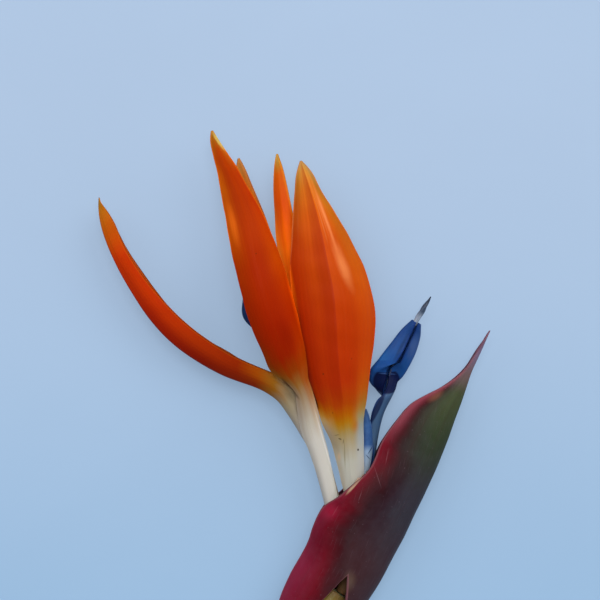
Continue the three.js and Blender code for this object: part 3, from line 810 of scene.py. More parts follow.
newerNear = {
    "rows": [
        [19.3, -77, 15.7, 3.1, 3.1, -15, 0, 47], [19.0, -70, 16.0, 4.0, 4.0, -12, 0, 47],
        [18.0, -60, 16.8, 5.3, 5.4, -8, 0, 46], [17.2, -52, 18.0, 6.6, 6.4, -4, 2, 44],
        [16.4, -44.4, 19.2, 9.2, 7.2, 0, 4, 40], [15.4, -36, 20.6, 11.4, 10.1, 0, 8, 36],
        [14.2, -26, 22.4, 14.0, 13.8, 3, 14, 33], [13.4, -16, 23.8, 15.4, 17.0, 5, 16, 30],
        [12.8, -6, 24.8, 16.2, 18.3, 6, 18, 28], [11.9, 3, 25.0, 16.6, 17.4, 7, 20, 26],
        [10.0, 13, 24.4, 15.4, 15.3, 7, 20, 24], [7.8, 23.4, 22.8, 12.5, 11.5, 7, 20, 22],
        [5.8, 32, 20.8, 9.8, 7.2, 7, 20, 20], [3.6, 39.8, 18.4, 6.6, 4.3, 6, 17, 19],
        [1.9, 45, 16.6, 3.9, 3.0, 6, 12, 14], [0.3, 49.9, 15.0, 0.3, 0.3, 6, 0, 0],
    ],
    "length": 130.6,
    "left": [
        (0, "#aca498"), (19, "#aea38f"), (25, "#93866f"), (31, "#a08a70"), (34, "#a88958"), (36, "#a87224"),
        (38.5, "#a35402"), (42, "#9a3001"), (50, "#9c2200"), (66, "#a42200"), (78, "#ac2a01"),
        (90, "#ae2c00"), (102, "#ae3601"), (114, "#ae4c04"), (122, "#a86410"), (127, "#ac7c34"),
        (130.6, "#a89058"),
    ],
    "middle": [
        (0, "#b4afa4"), (19, "#b0ac9e"), (23, "#a69c86"), (27.3, "#9e8b66"), (29.5, "#9c8350"),
        (31.5, "#a0782c"), (33.5, "#a46a0a"), (36, "#a45600"), (40, "#a43e01"), (48, "#aa2c01"),
        (60, "#b03000"), (74, "#b83801"), (86, "#be4202"), (98, "#c84a04"), (110, "#d85e08"),
        (120, "#d87414"), (127, "#cc8830"), (130.6, "#b49650"),
    ],
    "right": [
        (0, "#b4afa8"), (20, "#b1afa8"), (27, "#9aa0a0"), (31, "#8e9088"), (34, "#968a62"), (37, "#9e7434"),
        (40, "#a2601c"), (44, "#b05008"), (52, "#be4402"), (64, "#c64401"), (76, "#cc4e02"),
        (86, "#c85404"), (98, "#c45c06"), (110, "#bc6408"), (120, "#a86c1c"), (127, "#a08044"),
        (130.6, "#a08850"),
    ],
    "toLeft": (-0.3, -0.9),
    "toRight": (0.25, 0.8),
    # strength of the painted shade on the left side of the fold
    "paintedFoldShade": 0.55,
    # painted highlights on the ridges beside the keel near the tip
    "lines": [(0.1, 0.035, 96, 129, 0.5), (0.2, 0.03, 98, 127, 0.4)],  # across, width, from, to, strength
    "blade": (35, 46),
    "deep": "#961e01",
    "light": "#e2834a",
    "ragged": 5.0,
    "dip": -1.0,
    "keel": 0.14,  # height of the ridge on the midrib
    "grooves": [(0.06, 0.03, 0.1, 0.7), (0.15, 0.02, -0.1, 0.7)],  # across, width, height, start
    "rimFrom": (92, 108),
    "patches": [
        # painted light along the left margin, which lies in shade under the older near sepal
        ((-3.2, 6.0, 20.0), (1.5, 24.0), -10, 0.8, "#ff6400", 0.15),
        # the next three ovals are painted highlights right of the keel
        ((15.2, 12.4, 23.0), (2.7, 12.6), -21, 0.72, "#ec8648"),
        ((8.6, 30.6, 22.0), (0.9, 17.0), -20, 0.7, "#ee8c50"),
        ((11.5, 22.0, 22.0), (0.8, 9.0), -17, 0.35, "#e67a40"),
        ((19.6, -44.4, 19.0), (2.1, 4.4), 0, 0.75, "#a6620a"),
        # a dark line at the left margin beside the older near sepal's claw: painted shadow
        ((5.3, -35.4, 19.0), (0.6, 5.4), -21, 0.85, "#3c2010", 0.15, 0.6),
        ((16.0, -55.0, 17.0), (0.35, 7.6), -2, 0.55, "#74683c", 0.15, 0.8),
        ((14.0, -56.2, 17.0), (0.9, 2.4), 0, 0.5, "#cca480"),
        ((14.3, -49.7, 18.0), (0.8, 0.35), 20, 0.8, "#4c3820", 0.2, 0.7),
        ((13.2, -48.3, 18.0), (1.3, 0.22), -10, 0.6, "#5c4a30", 0.2, 0.7),
        ((15.5, -50.6, 18.0), (0.25, 1.3), 8, 0.6, "#5c4a30", 0.2, 0.7),
        ((20.8, -53.6, 18.0), (0.4, 0.55), 0, 0.9, "#2c1c10", 0.1, 0.5),
    ],
}
newerLeft = {
    "rows": [
        [16.9, -77, 10.8, 2.5, 2.5, -112, 0, 42], [16.2, -70, 10.8, 2.4, 2.6, -110, 0, 42],
        [14.8, -60, 10.6, 2.6, 3.4, -106, 0, 42], [11.8, -48, 10.4, 3.2, 4.2, -95, 2, 42],
        [8.6, -36, 10.2, 4.6, 5.0, -75, 6, 40], [4.6, -20, 10.6, 5.8, 6.0, -46, 10, 36],
        [0.4, -4, 12.0, 5.8, 6.4, -28, 12, 32], [-3.0, 10, 13.6, 6.0, 6.0, -22, 12, 30],
        [-5.2, 22, 14.8, 4.9, 4.6, -20, 12, 28], [-6.4, 32, 15.2, 4.0, 3.6, -20, 12, 26],
        [-7.4, 41, 14.8, 3.1, 2.7, -20, 12, 22], [-8.0, 47.5, 14.2, 1.7, 1.7, -20, 8, 16],
        [-8.3, 52.4, 13.6, 0.3, 0.3, -20, 0, 0],
    ],
    "length": 132.4,
    "left": [
        (0, "#a8a294"), (36, "#a07c30"), (46, "#e05604"), (70, "#ff6c04"), (84, "#ff7008"), (96, "#ff8014"),
        (106, "#f0680a"), (115, "#d44c02"), (125, "#c85602"), (129, "#b87c20"), (132.4, "#a89c58"),
    ],
    "middle": [
        (0, "#a8a294"), (36, "#a07c30"), (46, "#e05604"), (70, "#f86404"), (84, "#f45e04"), (96, "#f4680a"),
        (106, "#e45a04"), (115, "#d04a02"), (125, "#c85602"), (129, "#b47c24"), (132.4, "#a89c58"),
    ],
    "right": [
        (0, "#a8a294"), (36, "#a07c30"), (46, "#e05604"), (70, "#f06004"), (84, "#e85602"), (96, "#e86006"),
        (106, "#dc5404"), (115, "#cc4c02"), (125, "#c45804"), (129, "#b07c24"), (132.4, "#a89c58"),
    ],
    "blade": (40, 52),
    # painted light: the sepal glows below these lengths, where it lies in shade
    "lit": (114, 100),  # light comes through it below these lengths
    "deep": "#d33d02",
    "light": "#f59a20",
    "ragged": 6.0,
    "dip": -2.0,
}
newerFar = {
    "rows": [
        [21.0, -77, 8.2, 2.3, 2.4, 168, 0, 40], [20.2, -70, 7.2, 2.4, 2.4, 172, 0, 38],
        [19.2, -60, 6.2, 2.8, 2.8, 172, 0, 36], [18.2, -48, 5.4, 4.0, 3.8, 170, 2, 38],
        [16.6, -32, 4.4, 6.4, 6.4, 165, 6, 40], [14.6, -14, 1.6, 8.0, 8.0, 168, 10, 36],
        [12.0, 4, 0.3, 8.2, 8.2, 172, 12, 32], [9.0, 20, 1.0, 6.6, 6.6, 175, 14, 28],
        [6.6, 32, 3.2, 3.8, 3.8, 176, 12, 22], [5.2, 39, 4.4, 0.3, 0.3, 176, 0, 0],
    ],
    "length": 117.9,
    "middle": [
        (0, "#a8a294"), (30, "#a08048"), (42, "#c55205"), (80, "#c54402"), (105, "#ce6707"),
        (117.9, "#887830"),
    ],
    "blade": (34, 46),
    "deep": "#a42a02",
    "light": "#f58c18",
    "ragged": 6.0,
    "dip": -2.0,
}

print("sepals")
sepals = {
    "sepalOlderNear": ("sepal_1_near", olderNear, 11),
    "sepalOlderLeft": ("sepal_1_left", olderLeft, 12),
    "sepalOlderFar": ("sepal_1_far", olderFar, 13),
    "sepalNewerNear": ("sepal_2_near", newerNear, 14),
    "sepalNewerLeft": ("sepal_2_left", newerLeft, 15),
    "sepalNewerFar": ("sepal_2_far", newerFar, 16),
}
sepalGrid = (sepalFlesh["thick"], sepalFlesh["along"], sepalFlesh["across"])
for name, (node, own, seed) in sepals.items():
    look = {**usualSepal, **own}
    sheet = bladeSheet(name, look["rows"], *sepalGrid, sepalRelief(seed, look["keel"], look["grooves"]))
    place(sheet, node, "sepal", sepalFinish(name + "Flesh", look))


petalFlesh = {
    "uneven": 0.07,
    "unevenFineness": (2.5, 20),
    "fullReliefFrom": 8.0,  # half width
    "leastRelief": 0.2,
    "veinWaver": 0.05,
    "veinDepth": 0.05,
    "mottleSize": 5.0,
    "mottleShare": 0.2,
    "deepStreaks": (0.4, 0.75, 0.35),  # vein values from and to, strength
    "rimEnds": 0.05,  # millimetres from the edge
    "insideShare": 0.9,
    "shine": 0.08,
    "cell": 0.22,
    "cellDepth": 0.012,
    "roughness": 0.34,
    "glossChange": 0.14,
}


# blue faces, dark inside and in the channel, with fine lengthwise veins
def petalFinish(name, look):
    flesh = petalFlesh
    material, tree, shader, facts, spot, vein, mottle = organFinish(
        name, look["veins"], flesh["veinWaver"], flesh["mottleSize"], roughness=0.42, flesh=0.03,
        shine=flesh["shine"])
    colour = ramp(tree, facts["along"], look["bands"])
    colour = streaked(tree, colour, vein, (look["deep"], *flesh["deepStreaks"]))
    colour = tinted(tree, colour, look["light"], mottle, flesh["mottleShare"])
    rim = (look["rimColour"], look["rim"], flesh["rimEnds"], look["rimShare"])
    colour = edged(tree, colour, facts, rim)
    for patch in look.get("patches", ()):
        colour = addPatch(tree, spot, colour, *patch)
    colour = tinted(tree, colour, look["inner"], insideMask(tree, facts), flesh["insideShare"])
    cells = useGroup(tree, cellSkin, vector=spot, cell=flesh["cell"])
    gloss = plus(tree, times(tree, cells["Gloss"], flesh["glossChange"]), flesh["roughness"])
    connect(tree, shader, colour, gloss,
            [(vein["Height"], flesh["veinDepth"]), (cells["Height"], flesh["cellDepth"])])
    return material


olderArrow = {
    "rows": [
        [14.0, -80, 10.3, 3.7, 3.7, 180, 0, 120], [12.2, -75, 10.3, 3.7, 3.7, 180, 0, 120],
        [10.4, -68, 10.3, 3.7, 3.7, 180, 0, 120], [8.3, -60, 10.3, 3.7, 3.7, 180, 0, 120],
        [4.6, -49, 10.8, 3.7, 3.7, 180, 0, 120], [1.0, -38, 11.6, 3.7, 3.7, 180, 0, 120],
        [-3.0, -26, 12.6, 3.8, 3.8, 180, 0, 122], [-6.4, -17.2, 13.0, 4.0, 4.0, 180, 0, 120, 4],
        [-9.6, -11.4, 13.0, 9.0, 10.0, 180, 4, 40, 110, 3],
        [-11.9, -5.4, 13.0, 16.0, 18.6, 180, 6, 22, 140, 6],
        [-13.6, 1.6, 13.2, 14.0, 15.6, 180, 8, 22, 136, 3], [-15.0, 9, 13.4, 10.4, 11.0, 180, 8, 26, 130, 1],
        [-16.8, 15.4, 13.6, 7.0, 7.0, 180, 6, 50, 90], [-18.0, 20.4, 13.8, 3.8, 3.8, 180, 0, 122],
    ],
    "bands": [(0.0, "#8c94a0"), (0.3, "#5c6c88"), (0.5, "#1c3260"), (0.7, "#12244c"), (1.0, "#142850")],
    "deep": "#0c1a3c",
    "light": "#2c4c80",
    "inner": "#080e26",
    "rim": 0.5,
    "rimShare": 0.5,
    "rimColour": "#1c3260",
    "veins": 10.0,
}
newerArrow = {
    "rows": [
        [21.2, -77, 9.8, 4.0, 4.0, 160, 0, 125], [22.4, -71, 9.5, 4.1, 4.1, 158, 0, 125],
        [24.6, -63, 8.8, 4.1, 4.1, 155, 0, 125], [26.2, -56, 8.1, 4.1, 4.1, 150, 0, 125],
        [27.8, -49, 7.8, 6.2, 4.1, 130, 0, 150], [29.8, -41, 7.8, 7.8, 4.1, 124, 0, 158],
        [32.2, -35.4, 7.6, 7.8, 4.4, 136, 0, 152, 4, 0], [32.0, -32.8, 7.2, 6.8, 10.0, 178, 4, 50, 108, 3],
        [31.8, -29.8, 6.6, 9.4, 17.6, 192, 6, 22, 127, 6], [33.6, -23.4, 6.8, 11.8, 14.6, 196, 8, 22, 126, 3],
        [36.8, -16.6, 7.6, 11.8, 10.8, 200, 8, 26, 130, 1], [39.8, -11.4, 8.2, 8.8, 8.2, 195, 6, 50, 106],
        [41.8, -7.8, 8.6, 5.8, 5.8, 188, 0, 168],
    ],
    "bands": [(0.0, "#54687c"), (0.3, "#40566e"), (0.5, "#3c546e"), (0.6, "#405876"), (0.64, "#1a3c70"),
              (0.7, "#164684"), (0.8, "#184482"), (1.0, "#1c3c74")],
    "deep": "#182f64",
    "light": "#2a5694",
    "inner": "#1c3c78",
    "rim": 1.1,
    "rimShare": 0.9,
    "rimColour": "#14306c",
    "veins": 8.0,
    "patches": [
        # painted highlight on the left face
        ((29.8, -21.0, 10.0), (3.2, 6.0), 34, 0.45, "#1e62a2"),
        ((41.0, -17.0, 10.0), (2.6, 7.0), 15, 0.5, "#4c6494"),
        ((36.4, -17.0, 10.0), (1.0, 11.0), 28, 0.75, "#14305c", 0.15, 0.9),
        # painted shade in the hollow under the flap
        ((31.3, -29.2, 10.0), (5.4, 5.0), 12, 0.97, "#060f36", 0.06, 0.15),
        ((30.8, -23.9, 10.0), (7.2, 2.5), 0, 0.95, "#1a4684", 0.04, 0.2),
        # a thin painted highlight along the flap's edge
        ((31.4, -26.6, 10.0), (4.0, 0.26), 4, 0.7, "#3c5c94", 0.1, 0.5),
        # a dark band along the stalk's left side: painted shade
        ((27.6, -39.4, 10.0), (1.3, 8.4), 26, 0.92, "#101c40", 0.08, 0.45),
    ],
}
olderNectary = {
    "rows": [
        [14.0, -79.6, 13.6, 0.8, 0.8, 0, 0, 20], [10.5, -68, 13.6, 0.8, 0.8, 0, 0, 20],
        [8.1, -59, 13.8, 1.0, 1.0, 0, 2, 30], [6.4, -52.4, 14.1, 1.3, 1.3, 0, 4, 40],
        [5.0, -47.4, 14.4, 0.3, 0.3, 0, 0, 0],
    ],
    "bands": [(0.0, "#9ca2ac"), (0.6, "#7088ac"), (0.8, "#2c5088"), (1.0, "#1c386c")],
    "deep": "#1c346c",
    "light": "#7090b8",
    "inner": "#142858",
    "rim": 0.3,
    "rimShare": 0.4,
    "rimColour": "#7c94b8",
    "veins": 5.0,
}
newerNectary = {
    "rows": [
        [20.6, -76.6, 14.0, 0.8, 0.8, 10, 0, 20], [22.4, -68, 13.9, 1.0, 1.0, 14, 0, 24],
        [23.7, -60, 13.7, 1.8, 1.8, 18, 0, 36], [24.2, -53, 13.6, 2.9, 2.9, 18, 6, 44],
        [24.2, -47, 13.5, 2.9, 2.9, 18, 8, 46], [23.9, -42.6, 13.5, 1.7, 1.8, 18, 8, 40],
        [23.6, -39.2, 13.4, 0.3, 0.3, 18, 0, 0],
    ],
    "bands": [(0.0, "#a4a8ac"), (0.5, "#a4b4c4"), (0.6, "#8ca4c0"), (0.66, "#30548a"), (0.74, "#20467e"),
              (0.84, "#28528a"), (1.0, "#16305e")],
    "deep": "#1c346c",
    "light": "#7498c4",
    "inner": "#142858",
    "rim": 0.4,
    "rimShare": 0.4,
    "rimColour": "#7c9cc4",
    "veins": 5.0,
    "patches": [
        ((25.3, -54.0, 14.0), (0.3, 2.2), 32, 0.8, "#1c3054", 0.3, 0.6),
        ((24.4, -56.4, 14.0), (0.25, 1.5), -40, 0.7, "#1c3054", 0.3, 0.6),
    ],
}

print("blue petals")
petals = {  # node, look, thickness, rows along and across
    "arrowOlder": ("arrow_petal_1", olderArrow, 0.55, 190, 34),
    "arrowNewer": ("arrow_petal_2", newerArrow, 0.55, 190, 34),
    "nectaryOlder": ("nectary_petal_1", olderNectary, 0.6, 90, 12),
    "nectaryNewer": ("nectary_petal_2", newerNectary, 0.6, 90, 12),
}


def petalRelief(seed):
    wavy = ripples(seed, fineness=petalFlesh["unevenFineness"])

    def relief(across, along, half):
        size = np.clip(half / petalFlesh["fullReliefFrom"], petalFlesh["leastRelief"], 1.0)
        return petalFlesh["uneven"] * wavy(across, along) * size

    return relief


for name, (node, look, thick, along, across) in petals.items():
    sheet = bladeSheet(name, look["rows"], (thick, thick), along, across, petalRelief(len(name) + along))
    place(sheet, node, "petal", petalFinish(name + "Blue", look))


boat = {
    "rows": [  # the keel, base to tip
        [6.2, -134.1, 10.7, 28.6, 28.6, 90, 0, 178], [12.8, -124.4, 10.7, 34.3, 34.3, 90, 18, 144],
        [19.2, -115.6, 10.7, 36.9, 36.9, 90, 22, 136], [24.9, -107.4, 10.7, 37.6, 37.6, 90, 24, 132],
        [29.5, -100.0, 10.7, 38.5, 38.5, 90, 25, 130], [33.8, -91.6, 10.7, 38.2, 38.2, 90, 27, 118],
        [36.9, -86.0, 10.7, 35.4, 35.4, 90, 28, 102], [39.8, -80.2, 10.7, 31.4, 31.4, 90, 30, 86],
        [44.9, -70.2, 10.8, 26.3, 26.3, 90, 32, 77],
        [50.1, -59.2, 10.7, 25.4, 25.4, 90, 38, 87], [53.2, -51.3, 10.7, 23.3, 23.3, 90, 40, 84],
        [56.1, -42.7, 10.7, 19.1, 19.1, 91, 42, 80], [59.3, -33.3, 10.0, 8.7, 8.7, 93, 44, 70],
        [61.8, -26.2, 9.6, 3.4, 3.4, 96, 42, 55], [65.4, -18.6, 9.2, 1.9, 1.9, 98, 36, 40],
        [68.7, -11.2, 8.8, 0.3, 0.3, 98, 0, 0],
    ],
    "thick": (1.7, 1.1),
    "notch": [  # how far up the near side is open, across it
        (0.25, 0), (0.27, 0.15), (0.30, 0.20), (0.43, 0.262), (0.46, 0.235), (0.50, 0.175), (0.58, 0.08),
        (0.65, 0),
    ],
    "along": 210,
    "across": 56,
    "notchColumns": [(0.25, 0.31, 13), (0.4, 0.5, 11)],  # extra ones keep the notch's outline smooth
    "keelRidge": (0.25, 0.03),  # height and width
    "lipRidge": (0.22, 0.965, 0.02),  # height, place and width
    "uneven": (0.22, 0.05),  # broad and fine
    "unevenFineness": (3.0, 14),
    "fineFineness": (14, 40),
    "fullReliefFrom": 12.0,  # half width
    "veins": (26.0, 0.03),
    "mottleSize": 20.0,
    "fromKeel": [  # colours from the keel to the rim
        # the grey at the keel is partly the spathe's own colour and partly a painted sheen
        (0.0, "#343038"), (0.16, "#2c1a22"), (0.3, "#2a0e14"), (0.42, "#440a12"), (0.54, "#660618"),
        (0.8, "#801c36"),
    ],
    "wander": 0.1,
    "duskBorder": (10.0, 82.0, 0.1, 0.4),  # between these lengths it moves out this far
    # zones are a shade, its strength and the smooth steps that bound it
    "zones": [
        ("#44282a", 0.6, [("length", 66.0, 40.0), ("drift", 0.42, 0.24)]),  # brown about the notch
        ("#313b26", 0.95, [("length", 70.0, 98.0), ("wandered", 0.84, 0.3)]),  # green on the keel side
        ("#424a2e", 0.8, [("length", 70.0, 98.0), ("wandered", 0.84, 0.3), ("length", 92.0, 112.0)]),
    ],
    "rust": ((48.6, -34.4, 12.0), (4.6, 2.0), -34, 0.6, "#7a4a38", 0.3, 0.8),
    "tipZones": [
        ("#6e5658", 0.85, [("length", 112.0, 122.0)]),
        ("#76647c", 1.0, [("length", 120.0, 130.0)]),
        # the rim blushes towards the mouth
        ("#8a424e", 0.7, [("length", 84.0, 100.0), ("out", 0.78, 0.96), ("length", 126.0, 118.0)]),
    ],
    "patches": [
        # a dry tan line at the mouth
        ((20.0, -65.2, 20.0), (0.8, 6.6, 30.0), 40, 0.85, "#b89878", 0.3, 0.6),
        # thin pale scratches
        ((21.4, -70.0, 20.0), (0.2, 2.6, 30.0), 20, 0.17, "#a87c84", 0.5, 0.7),
        ((27.8, -63.4, 20.0), (0.2, 5.2, 30.0), -18, 0.17, "#a87c84", 0.5, 0.7),
        ((31.2, -55.6, 20.0), (0.2, 4.0, 30.0), 12, 0.17, "#a87c84", 0.5, 0.7),
        ((12.6, -75.4, 20.0), (0.2, 3.0, 30.0), 30, 0.17, "#a87c84", 0.5, 0.7),
        # bright under the mouth, a deep red stretch below it, tan beside the notch
        ((10.6, -75.2, 20.0), (4.6, 5.0, 40.0), 30, 0.55, "#a81c3a", 0.3, 1.0),
        ((6.0, -88.0, 14.0), (6.0, 10.0, 40.0), 20, 0.55, "#5c0414", 0.3, 1.0),
        ((17.6, -100.4, 20.0), (3.2, 5.4, 40.0), 10, 0.45, "#6e5a4a", 0.3, 1.0),
    ],
    "streaks": ("#38040c", 0.45, 0.8, 0.22),  # shade, vein values from and to, strength
    "margin": ("#845058", 1.0, 0.1, 0.6),  # shade, millimetres from and to, strength
    "inner": ("#6c3440", 0.8),
    "flecks": (1.5, 0.35, 0.16),  # spacing, amount, radius
    "rubs": (1.7, 3.0, 0.08, 0.3),  # spacing, stretch, lean, amount
    "paleShares": (0.14, 0.12),  # of the flecks and the rub marks
    "pale": "#84707c",
    "bloom": ("#807c88", 0.02),
    "bloomSize": 3.0,
    "roughness": 0.36,
    "dulling": (0.16, 0.4),  # what the bloom and the pale marks add to it
    "cell": 0.35,
    "depths": (0.025, -0.03, 0.01),  # veins, pale marks, cells
}


def notchStart(s):
    return np.interp(s, [at for at, _ in boat["notch"]], [up for _, up in boat["notch"]], 0.0, 0.0)


def makeSpathe():
    at = curveThrough(boat["rows"])
    far = np.linspace(0, 1, boat["across"] + 1)
    extra = [np.linspace(*columns) for columns in boat["notchColumns"]]
    near = np.unique(np.concatenate([far, *extra]).round(4))
    s = np.concatenate([near[:0:-1], far])
    hand = np.concatenate([-np.ones(len(near) - 1), np.ones(len(far))])
    start = np.where(hand < 0, notchStart(s), 0.0)
    rise = np.linspace(0, 1, boat["along"] + 1)[:, None]
    shares = start[None] + (1 - start[None]) * rise
    s = np.repeat(s[None], boat["along"] + 1, axis=0)
    uneven = ripples(31, fineness=boat["unevenFineness"])
    fine = ripples(32, fineness=boat["fineFineness"])
    keelHeight, keelWidth = boat["keelRidge"]
    lipHeight, lipAt, lipWidth = boat["lipRidge"]

    def relief(u, t, half):
        keel = keelHeight * np.exp(-(u / keelWidth) ** 2)
        edge = lipHeight * np.exp(-((np.abs(u) - lipAt) / lipWidth) ** 2)
        skin = boat["uneven"][0] * uneven(u, t) + boat["uneven"][1] * fine(u, t)
        return (keel + edge + skin) * np.clip(half / boat["fullReliefFrom"], 0.1, 1.0)

    *points, facts = sheetPoints(at, shares, s, hand[None], boat["thick"], relief)
    # the notch's rim is an edge too
    fromNotch = (shares - start[None]) * at.length + np.where(start > 0, 0, 50)[None]
    facts["edge"] = np.minimum(facts["edge"], fromNotch)
    return closedSheet(points, facts, "spatheBoat")


def spatheFinish():
    look = boat
    material, tree, shader, facts, spot, vein, mottle = organFinish(
        "spatheRind", *look["veins"], look["mottleSize"], roughness=0.42, flesh=0.02, shine=0.06)
    # crimson from the rim, dusk towards the keel; the border wanders
    out = calc(tree, "ABSOLUTE", facts["across"])
    wandered = plus(tree, out, times(tree, calc(tree, "SUBTRACT", mottle, 0.5), look["wander"]))
    drift = calc(tree, "SUBTRACT", wandered, between(tree, facts["length"], *look["duskBorder"]))
    # the grey at the keel end of the ramp is partly a painted sheen
    colour = ramp(tree, drift, look["fromKeel"])
    measures = {"length": facts["length"], "out": out, "wandered": wandered, "drift": drift}

    def zoned(colour, zones):
        for shade, strength, steps in zones:
            mask = stepped(tree, *[(measures[key], low, high) for key, low, high in steps])
            colour = tinted(tree, colour, shade, mask, strength)
        return colour

    colour = zoned(colour, look["zones"])
    colour = addPatch(tree, spot, colour, *look["rust"])
    colour = zoned(colour, look["tipZones"])
    for patch in look["patches"]:
        colour = addPatch(tree, spot, colour, *patch)
    # dark streaks, the dry margin and the inner face
    colour = streaked(tree, colour, vein, look["streaks"])
    colour = edged(tree, colour, facts, look["margin"])
    innerColour, innerShare = look["inner"]
    colour = tinted(tree, colour, innerColour, insideMask(tree, facts), innerShare)
    # pale flecks, rub marks and a dusty bloom
    dotShare, markShare = look["paleShares"]
    dots = times(tree, fleckMask(tree, spot, *look["flecks"]), dotShare)
    marks = times(tree, rubMask(tree, facts, *look["rubs"]), markShare)
    pale = calc(tree, "MAXIMUM", dots, marks)
    colour = tinted(tree, colour, look["pale"], pale)
    bloom = useGroup(tree, blotches, vector=spot, size=look["bloomSize"])["Value"]
    bloomColour, bloomShare = look["bloom"]
    colour = tinted(tree, colour, bloomColour, bloom, bloomShare)
    cells = useGroup(tree, cellSkin, vector=spot, cell=look["cell"])
    bloomDulls, paleDulls = look["dulling"]
    gloss = plus(tree, times(tree, bloom, bloomDulls), times(tree, pale, paleDulls))
    gloss = plus(tree, gloss, look["roughness"])
    veinDepth, paleDepth, cellDepth = look["depths"]
    connect(tree, shader, colour, gloss,
            [(vein["Height"], veinDepth), (pale, paleDepth), (cells["Height"], cellDepth)])
    return material


print("spathe")
place(makeSpathe(), "spathe", "spathe", spatheFinish())

lip = {
    "span": (0.44, 0.565),  # of the keel's length
    "lift": 1.8,  # it lies inside the spathe's wall
    "thick": (0.45, 0.45),
    "edgeAt": 0.965,  # share of the spathe's half width
    "deepAt": 0.84,
    "halfWidth": 30,  # of the spathe there, about
    "proud": 0.075,
    "ragged": 0.012,
    "tearFineness": (0, 60),
    "crinkle": 0.1,
    "crinkleFineness": (12, 260),
    "along": 150,
    "across": 14,
    "colours": ("#bc9a88", "#a87a68"),
    "veins": (60.0, 0.05),
    "mottleSize": 2.5,
    "streaks": ("#94604c", 0.5, 0.8, 0.7),
    "rim": ("#d8b89c", 0.6, 0.0, 1.0),
    "roughness": (0.5, 0.7),
    "veinDepth": 0.08,
}


def makeBracteole():
    rise = np.linspace(0, 1, lip["along"] + 1)[:, None]
    tear = ripples(41, waves=12, fineness=lip["tearFineness"])
    bulge = np.sin(math.pi * rise)
    edge = lip["edgeAt"] + lip["proud"] * bulge + lip["ragged"] * tear(0, rise) * bulge
    s = edge + (lip["deepAt"] - edge) * np.linspace(0, 1, lip["across"] + 1)[None]
    first, last = lip["span"]
    shares = np.repeat(first + (last - first) * rise, s.shape[1], axis=1)
    crinkle = ripples(42, fineness=lip["crinkleFineness"])

    def relief(u, t, half):
        return lip["crinkle"] * crinkle(u, t)

    at = curveThrough(boat["rows"])
    hand = -np.ones((1, s.shape[1]))
    *points, facts = sheetPoints(at, shares, s, hand, lip["thick"], relief, lip["lift"])
    facts["edge"] = (edge - s) * lip["halfWidth"]
    return closedSheet(points, facts, "bracteoleEdge")


def bracteoleFinish():
    material, tree, shader, facts, _, vein, mottle = organFinish(
        "dryBracteole", *lip["veins"], lip["mottleSize"], roughness=0.6, flesh=0.1)
    colour = mixed(tree, mottle, *lip["colours"])
    colour = streaked(tree, colour, vein, lip["streaks"])
    colour = edged(tree, colour, facts, lip["rim"])
    gloss = dulled(tree, mottle, *lip["roughness"])
    connect(tree, shader, colour, gloss, [(vein["Height"], lip["veinDepth"])])
    return material


place(makeBracteole(), "bracteole", "bracteole", bracteoleFinish())


def plainCut(isFarEnd, inward, turns):
    return np.zeros_like(turns)


# a closed rod; profile(turn, share, radius) gives the radius round it
def makeRod(name, rows, along, sides, profile, cutRings=(3, 3), cutRelief=plainCut):
    at = curveThrough(rows, width=4)
    shares = np.linspace(0, 1, along + 1)
    turns = np.linspace(0, 2 * math.pi, sides, endpoint=False)
    row = at(shares)
    forward, outward, sideways = axesAlong(at, shares, np.zeros_like(shares))
    radius = profile(turns[None], shares[:, None], row[:, 3][:, None])
    rings = (row[:, None, :3] + sideways[:, None] * (radius * np.cos(turns))[..., None]
             + outward[:, None] * (radius * np.sin(turns))[..., None])
    vertices, faces = [], []
    facts = {"across": [], "along": [], "width": [], "length": [], "edge": [], "skin": []}

    def addRing(points, *values):  # returns the numbers of its vertices
        start = sum(len(ring) for ring in vertices)
        vertices.append(points)
        for key, value in zip(facts, values):
            facts[key].append(np.broadcast_to(value, len(points)))
        return start + np.arange(len(points))

    def join(a, b, flipped=False):  # b may be one vertex in the middle
        for j in range(sides):
            k = (j + 1) % sides
            face = (a[j], b[j], b[k], a[k]) if len(b) > 1 else (a[j], b[0], a[k])
            faces.append(face[::-1] if flipped else face)

    across = turns / math.pi - 1
    grid = [addRing(rings[i], across, share, turns * radius[i], share * at.length, 9.0, 1.0)
            for i, share in enumerate(shares)]
    for a, b in zip(grid, grid[1:]):
        join(a, b)
    for isFarEnd, end, count in ((False, 0, cutRings[0]), (True, along, cutRings[1])):
        share, centre, before = shares[end], row[end, :3], grid[end]
        for r in range(1, count + 1):
            inward = 1 - r / (count + 1)
            raised = cutRelief(isFarEnd, inward, turns)[:, None] * (1 if isFarEnd else -1)
            level = centre + (rings[end] - centre) * inward + forward[end] * raised
            after = addRing(level, across, share, 0.0, share * at.length, inward, 0.0)
            join(before, after, not isFarEnd)
            before = after
        middlePoint = addRing(centre[None], 0.0, share, 0.0, share * at.length, 0.0, 0.0)
        join(before, middlePoint, not isFarEnd)
    facts = {key: np.concatenate(values) for key, values in facts.items()}
    return makePiece(name, np.vstack(vertices), faces, facts)


